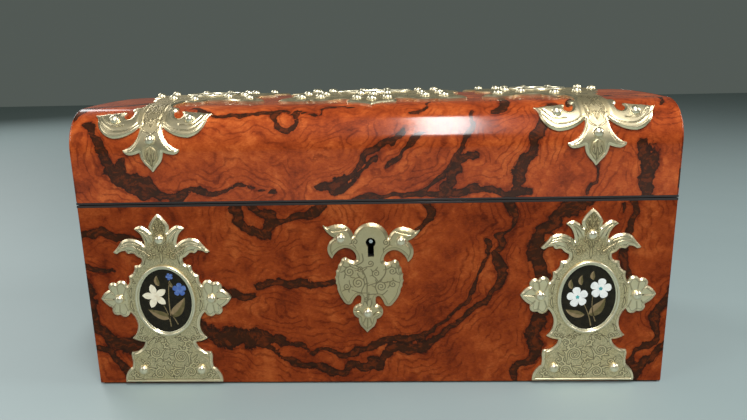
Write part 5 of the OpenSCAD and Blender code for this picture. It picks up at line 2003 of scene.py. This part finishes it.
    def key_place(self, flat: Array, lift: Array) -> Array:
        """Stands the escutcheon's own plane on the front, turned by its tilt."""
        return CASKET.on_front(turned(flat, -self.tilt) + np.array(self.keyhole), lift)

    def escutcheon(self) -> None:
        """The keyhole plate, with a keyhole that stays upright in it."""
        slot = [(-1.55, -2.0), (-1.55, -7.4), (1.55, -7.4), (1.55, -2.0)]
        start = math.atan2(-2.0, 1.55)
        bow = np.linspace(start, math.pi - start, 40)
        hole = np.vstack([slot, 2.5 * np.column_stack([np.cos(bow), np.sin(bow)])])
        region = Region([mirrored(run_points(ESCUTCHEON_RUN))], [turned(hole, self.tilt)])
        ribbons = tendrils(ESCUTCHEON_SCROLLS) + ESCUTCHEON_STEMS
        Mount("escutcheon_engraved", region, self.key_place, CASKET.plate_t, ribbons,
              both_ribs(ESCUTCHEON_RIBS), lambda flat: np.full(len(flat), 0.15), step=0.25, bevel_w=1.9,
              bevel_drop=1.0, finish=Finish.KEYPLATE).build("body", "escutcheon")


@dataclass
class LidMounts:
    """The straps, the centre mount and their plaques on the crown."""

    oval_in: float = 12.4
    oval: Spot = (13.7, 17.3)
    centre_oval: Spot = (20, 13.4)
    finial_studs: tuple[Spot, ...] = ((-18.8, 41.4), (18.8, 41.4), (0, 31))
    crown_studs: tuple[Spot, ...] = (
        (-2, -31), (-15.5, -13), (12, -38.5), (27, -25), (34, -15), (41.5, -37))
    centre_studs: tuple[Spot, ...] = (
        (0, -53), (8, -48), (-8, -48), (0, -27), (7.5, -19), (-7.5, -19), (38, -41), (-38, -41),
        (28, -40), (-28, -40), (37, -20), (-37, -20), (27, -22), (-27, -22))

    def build(self) -> None:
        """Makes the mounts, the plaques and the studs."""
        c = CASKET
        for word, side in (("left", -1), ("right", 1)):
            self.strap(word, side)
        quarter = self.over_crown(run_points(CENTRE_RUN))
        half = np.vstack([quarter[::-1] * [1, -1], quarter[1:]])
        region = Region([mirrored(half)], [oval_hole(self.centre_oval)])
        Mount("centre_mount_engraved", region, c.on_dome, c.strap_t, paired(CENTRE_SCROLLS, [], ends=True),
              step=0.41).build("lid", "centre_mount")
        self.plaques()
        self.nails()

    def over_crown(self, points: Array) -> Array:
        """Points seen in plan, with Y turned to length over the crown."""
        return np.column_stack([points[:, 0], CASKET.run_at(points[:, 1])])

    def strap(self, word: str, side: int) -> None:
        """One strap from its front finial over the crown to the back one.

        Args:
            word: left or right.
            side: -1 or 1.
        """
        c = CASKET
        finial = mirrored(run_points(FINIAL_RUN))
        front = np.column_stack([finial[:, 0], finial[:, 1] - c.half_run])
        inward = self.over_crown(run_points(INWARD_RUN)) * [-1, 1]
        outward = self.over_crown(run_points(OUTWARD_RUN))
        crown = np.vstack([inward, outward[::-1], outward[1:] * [1, -1], inward[::-1][:-1] * [1, -1]])
        hole = oval_hole(self.oval) + [-self.oval_in, 0]
        outers = [front, front * [1, -1], crown]
        ribbons = paired(FINIAL_SCROLLS, FINIAL_PLUMES, -c.half_run, ends=True)
        crowned = tendrils(CROWN_SCROLLS)
        ribbons += crowned + laid_out(crowned, (1, -1))
        ribs = [[(x, v * (s - c.half_run)) for x, s in path]
                for path in both_ribs([*FINIAL_RIBS, FINIAL_LEAF]) for v in (1, -1)]

        def place(flat: Array, lift: Array) -> Array:
            """Lays the strap's own plane over the lid."""
            return c.on_dome(flat + np.array([side * c.mount_x, 0]), lift)

        if side < 0:
            outers = [o * [-1, 1] for o in outers]
            hole = hole * [-1, 1]
            ribbons = laid_out(ribbons, (-1, 1))
            ribs = [[(-x, s) for x, s in path] for path in ribs]
        Mount(f"{word}_strap_engraved", Region(outers, [hole]), place, c.strap_t, ribbons, ribs, self.worked,
              step=0.38).build("lid", f"{word}_strap")

    def worked(self, flat: Array) -> Array:
        """1 on the crown and the necks, 0 on the smooth wings and tips of the finials.

        Args:
            flat: Flat places.

        Returns:
            Shares of the full depth.
        """
        down = CASKET.half_run - np.abs(flat[:, 1])
        neck = smooth((8 - np.abs(flat[:, 0])) / 1.5) * smooth((down - 34) / 2)
        leaf = smooth((4.2 - np.abs(flat[:, 0])) / 1.2) * smooth((29 - down) / 2) * smooth((down - 17) / 2)
        return np.maximum(np.maximum(neck, leaf), smooth((down - 55) / 4))

    def plaques(self) -> None:
        """Bezels, stones and flowers on the crown."""
        c = CASKET
        x = c.mount_x - self.oval_in
        three = [Plaque((-x, 0), self.oval, c.on_dome, c.strap_t),
                 Plaque((0, 0), self.centre_oval, c.on_dome, c.strap_t),
                 Plaque((x, 0), self.oval, c.on_dome, c.strap_t)]
        rims = make_object("lid_bezel_rims", *joined([p.bezel() for p in three]))
        fit(rims, "lid", Finish.POLISHED, "lid_bezels")
        ovals = make_object("lid_stone_ovals", *joined([p.stone() for p in three]))
        fit(ovals, "lid", Finish.BLACK, "lid_stones")
        centre = [Blossom(-11.5, 1.5, 6.6, 14, True), Blossom(-0.4, -2.4, 5.3, 10), Blossom(11, 2.1, 5.3, -8)]
        flowers = (FLOWER_PAIR, centre, FLOWER_PAIR)
        inlays = [Inlay(p) for p in three]
        blossoms("lid_flowers", "lid", Finish.WHITE, list(zip(inlays, flowers)), "lid_inlays")
        beds = [(Inlay(p, proud=0.06), hearts(f)) for p, f in zip(three, flowers)]
        blossoms("lid_flower_centres", "lid", Finish.TEAL, beds)
        leaves = [
            Spray((-1.4, -9.4), (-6.4, -9.8), (-11, -6.6), 1.9),
            Spray((0.8, -9.2), (5.6, -7.4), (8.6, -0.6), 2.8),
            Spray((-8.2, 4.6), (-10, 7), (-8.9, 9.6), 1.2), Spray((2.2, 9.4), (1, 11.6), (2.1, 14), 1.2),
            Spray((2.2, -15.2), (1.2, -9.6), (-1.8, -4), 0.28, True),
            Spray((4.4, -13.2), (1.4, -6.4), (2.4, 1.4), 0.22, True),
        ]
        middle = [
            Spray((-3.4, 5.4), (-0.6, 10.4), (4.4, 11.2), 1.5),
            Spray((4.6, 7.2), (7, 10.2), (11.4, 9.6), 1.4),
            Spray((-5.6, -7.4), (-9.4, -9.8), (-13.2, -6.6), 1.5),
            Spray((5.4, -7.6), (9.6, -9.4), (13.6, -5.6), 1.7),
            Spray((-11, -4.6), (-7, -8.6), (0, -11.6), 0.25, True),
            Spray((10.6, -3.4), (6.4, -9.4), (0, -11.6), 0.25, True),
        ]
        sprays("lid_leaves", "lid", [(inlays[0], leaves), (inlays[1], middle), (inlays[2], leaves)])

    def nails(self) -> None:
        """All studs of the lid."""
        c = CASKET
        flats = []
        for side in (-1, 1):
            for v in (-1, 1):
                ends = np.array([(side * c.mount_x + x, v * (s - c.half_run)) for x, s in self.finial_studs])
                crown = np.array([(side * (c.mount_x - a), v * c.run_at(y)) for a, y in self.crown_studs])
                flats += [(ends, c.on_dome, c.strap_t), (crown, c.on_dome, c.strap_t)]
        for v in (-1, 1):
            centre = np.array([(x, v * c.run_at(y)) for x, y in self.centre_studs])
            flats.append((centre, c.on_dome, c.strap_t))
        Studs().build("lid_stud_heads", "lid", flats, "lid_studs")


# ------------------------------------------------------------ inside and metal


@dataclass
class Linings:
    """Velvet pads, crowned between their seams."""

    step: float = 1.6
    wall_step: float = 2.4
    lid_step: float = 1.8
    seam_w: float = 2.0
    quilt: float = 24
    lid_t: float = 3.0

    def build(self) -> None:
        """Makes the pads of the body and the lid."""
        self.floor()
        self.walls()
        self.lid()

    def pillow(self, u: Array, v: Array, width: float, height: float, pitch: float) -> Array:
        """Height share of a quilted pad: rounded at the rim and drawn in along diamond seams.

        Args:
            u: Place across, from 0 to width.
            v: Place up, from 0 to height.
            width: Width of the pad.
            height: Height of the pad.
            pitch: Distance between seams, or 0 for none.

        Returns:
            1 at full height and less at seams and rims.
        """
        edge = np.minimum(np.minimum(u, width - u), np.minimum(v, height - v))
        share = smooth(edge / 3.2) ** 0.5
        if pitch:
            a = np.abs(((u - width / 2 + v - height / 2) / pitch + 0.5) % 1 - 0.5) * pitch / math.sqrt(2)
            b = np.abs(((u - width / 2 - v + height / 2) / pitch + 0.5) % 1 - 0.5) * pitch / math.sqrt(2)
            share = share * (1 - 0.7 * np.exp(-((np.minimum(a, b) / self.seam_w) ** 2)))
            share = share * (1 - 0.5 * np.exp(-((np.hypot(a, b) / (1.8 * self.seam_w)) ** 2)))
        return share

    def pad(self, name: str, node: str, body: str, us: Array, vs: Array, place: Place, thickness: float,
            pitch: float) -> None:
        """One pad on a face.

        Args:
            name: Name of the piece.
            node: CAD node that it stands for.
            body: Body that it rides on.
            us: Grid lines across.
            vs: Grid lines up.
            place: Lays flat points and heights in space.
            thickness: Full thickness.
            pitch: Distance between seams.
        """
        flat = grid_points(us, vs)
        share = self.pillow(flat[:, 0] - us[0], flat[:, 1] - vs[0], us[-1] - us[0], vs[-1] - vs[0], pitch)
        lift = thickness * (0.3 + 0.7 * share)
        quads = lattice(len(us), len(vs))
        points, faces = closed_shell(place(flat, lift), place(flat, 0 * lift), [quads])
        piece = fit(make_object(name, points, faces, sharp=70), body, Finish.LINING, node)

    def floor(self) -> None:
        """The floor pad, quilted in diamonds."""
        low, high = (np.array(c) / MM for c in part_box("floor_pad"))
        us, vs = spaced(low[0], high[0], self.step), spaced(low[1], high[1], self.step)

        def place(flat: Array, lift: Array) -> Array:
            """Lays the pad on the base."""
            return np.column_stack([flat, low[2] + lift])

        self.pad("floor_cushion", "floor_pad", "body", us, vs, place, high[2] - low[2], self.quilt)

    def walls(self) -> None:
        """The four wall pads, each facing inwards."""
        for node, axis, sign in (("front_lining", 1, 1), ("back_lining", 1, -1), ("left_lining", 0, 1),
                                 ("right_lining", 0, -1)):
            self.wall(node, axis, sign)

    def wall(self, node: str, axis: int, sign: int) -> None:
        """One wall pad.

        Args:
            node: CAD node that it stands for.
            axis: 0 where it faces along X, 1 along Y.
            sign: Which way it faces.
        """
        low, high = (np.array(c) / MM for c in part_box(node))
        other = 1 - axis
        back = low[axis] if sign > 0 else high[axis]
        us = spaced(low[other], high[other], self.wall_step)
        vs = spaced(low[2], high[2], self.wall_step)
        flip = (axis == 1) == (sign > 0)

        def place(flat: Array, lift: Array) -> Array:
            """Stands the pad against its wall.

            Args:
                flat: Flat places, the first coordinate along the wall.
                lift: Height off the wall.

            Returns:
                Points in space.
            """
            across = -flat[:, 0] if flip else flat[:, 0]
            points = np.zeros((len(flat), 3))
            points[:, other], points[:, axis], points[:, 2] = across, back + sign * lift, flat[:, 1]
            return points

        self.pad(f"{node}_pad", node, "body", us, vs, place, high[axis] - low[axis], 0)

    def lid(self) -> None:
        """The pad under the crown and the two end pads of the lid."""
        c = CASKET
        low, high = (np.array(b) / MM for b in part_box("lid_pad"))
        start = c.half_run - (low[2] - c.lid_z)
        us, vs = spaced(low[0], high[0], self.lid_step), spaced(-start, start, self.lid_step)

        def place(flat: Array, lift: Array) -> Array:
            """Hangs the pad under the boards of the dome."""
            return c.on_dome(flat * [-1, 1], -(c.wall_t + 0.2) - lift)

        self.pad("lid_cushion", "lid_pad", "lid", us, vs, place, self.lid_t, self.quilt)
        piece = softened("lid_end_pads", "lid_end_cushions", 0.9, 3)
        fit(piece, "lid", Finish.LINING)


@dataclass
class Fittings:
    """Boards, edgings and hardware that keep their CAD shape, with eased edges."""

    eased: tuple[tuple[str, str, Finish, float], ...] = (
        ("body_edging", "body", Finish.EDGING_AND_SEAM_SHADE, 0.3), ("lid_edging", "lid", Finish.EDGING_AND_SEAM_SHADE, 0.3),
        ("left_hinge_body_leaf", "body", Finish.BRASS, 0.2),
        ("right_hinge_body_leaf", "body", Finish.BRASS, 0.2),
        ("left_hinge_lid_leaf", "lid", Finish.BRASS, 0.2), ("right_hinge_lid_leaf", "lid", Finish.BRASS, 0.2),
        ("lock_case", "body", Finish.BRASS, 0.15), ("link_plate", "lid", Finish.BRASS, 0.15),
        ("lock_bolt", "bolt", Finish.BRASS, 0.1),
    )
    kept: tuple[tuple[Finish, tuple[str, ...]], ...] = (
        (Finish.BOARD, ("front_board", "back_board", "left_end_board", "right_end_board", "base_board",
                        "lid_front_rail", "lid_back_rail", "lid_left_end", "lid_right_end", "lid_top_board")),
        (Finish.BAIZE, ("base_baize",)),
        (Finish.BRASS, ("hinge_pins", "lock_cap", "body_screws", "lid_screws")),
        (Finish.STEEL, ("bolt_spring", "drill_pin")),
    )

    def build(self) -> None:
        """Dresses each kept node and eases the edges of the rest."""
        for node, body, finish, width in self.eased:
            fit(softened(node, f"{node}_eased", width), body, finish)
        for finish, nodes in self.kept:
            for node in nodes:
                WARDROBE.dress(frame["nodes"][node], finish)


# ------------------------------------------------------------------ the studio


@dataclass
class Studio:
    """A pale floor, soft light and the camera."""

    lens: float = 28.9
    camera_at: tuple[float, float, float] = (9.873, -366.532, 163.767)
    pitch: float = 0.23017
    roll: float = 0.020689
    yaw: float = -0.032772

    def build(self) -> None:
        """Sets the stage."""
        self.floor()
        self.world()
        self.lamp("key_light", (0.125, -0.66, 0.94), (0.125, -0.072, 0.136), 0.12, 1.0, 14)
        self.lamp("left_light", (-1.3, -0.9, 0.8), (-0.05, 0.0, 0.08), 0.5, 0.9, 4.5)
        self.lamp("right_light", (1.4, -0.1, 0.8), (0.05, 0.0, 0.08), 0.5, 0.6, 10)
        self.lamp("back_light", (-1.4, 1.2, 1.1), (0.0, 0.0, 0.08), 0.9, 0.9, 14)
        self.camera()
        settings = bpy.context.scene.view_settings
        settings.view_transform = "Standard"

    def floor(self) -> None:
        """A large pale sheet that runs out of sight."""
        reach = 3000.0
        points = np.array([[-reach, -reach, 0], [reach, -reach, 0], [reach, reach, 0], [-reach, reach, 0]])
        sheet = make_object("floor", points, [np.array([[0, 1, 2, 3]])])
        s = Sheet("pale_floor")
        tone = s.noise(s.place(), 0.02, 3, 0.5)
        colour = s.ramp(tone, [(0.3, (0.278, 0.348, 0.348)), (0.7, (0.284, 0.354, 0.354))])
        sheet.data.materials.append(s.finish(Base_Color=colour, Roughness=0.55))

    def world(self) -> None:
        """A dim room all round."""
        world = bpy.data.worlds.new("dim_room")
        bpy.context.scene.world = world
        world.use_nodes = True
        shade = world.node_tree.nodes["Background"]
        shade.inputs["Color"].default_value = (0.085, 0.1, 0.09, 1)
        shade.inputs["Strength"].default_value = 1.0

    def lamp(self, name: str, at: tuple[float, float, float], aim: tuple[float, float, float], width: float,
             height: float, power: float) -> None:
        """A rectangular softbox.

        Args:
            name: Name of the lamp.
            at: Where it stands, in metres.
            aim: What it faces, in metres.
            width: Size across.
            height: Size up.
            power: Watts.
        """
        light = bpy.data.lights.new(name, "AREA")
        light.shape = "RECTANGLE"
        light.size, light.size_y, light.energy = width, height, power
        lamp = bpy.data.objects.new(name, light)
        lamp.location = at
        lamp.rotation_euler = (Vector(aim) - Vector(at)).to_track_quat("-Z", "Y").to_euler()
        bpy.context.scene.collection.objects.link(lamp)

    def camera(self) -> None:
        """A camera turned by a yaw, a pitch and a roll, in that order."""
        level = math.cos(self.pitch)
        forward = Vector((math.sin(self.yaw) * level, math.cos(self.yaw) * level, -math.sin(self.pitch)))
        right = Vector((math.cos(self.yaw), -math.sin(self.yaw), 0))
        down = forward.cross(right)
        across = math.cos(self.roll) * right + math.sin(self.roll) * down
        below = math.cos(self.roll) * down - math.sin(self.roll) * right
        data = bpy.data.cameras.new("camera")
        data.lens, data.sensor_width = self.lens, 36
        camera = bpy.data.objects.new("camera", data)
        turn = Matrix([across, -below, -forward]).transposed().to_4x4()
        camera.matrix_world = Matrix.Translation(Vector(self.camera_at) * MM) @ turn
        bpy.context.scene.collection.objects.link(camera)
        bpy.context.scene.camera = camera


def main() -> None:
    """Builds the casket and its setting."""
    logging.basicConfig(level=logging.INFO, format="%(name)s: %(message)s")
    Studio().build()
    VeneeredCarcass().build()
    FrontMounts().build()
    LidMounts().build()
    Linings().build()
    Fittings().build()


if __name__ == "__main__":
    main()
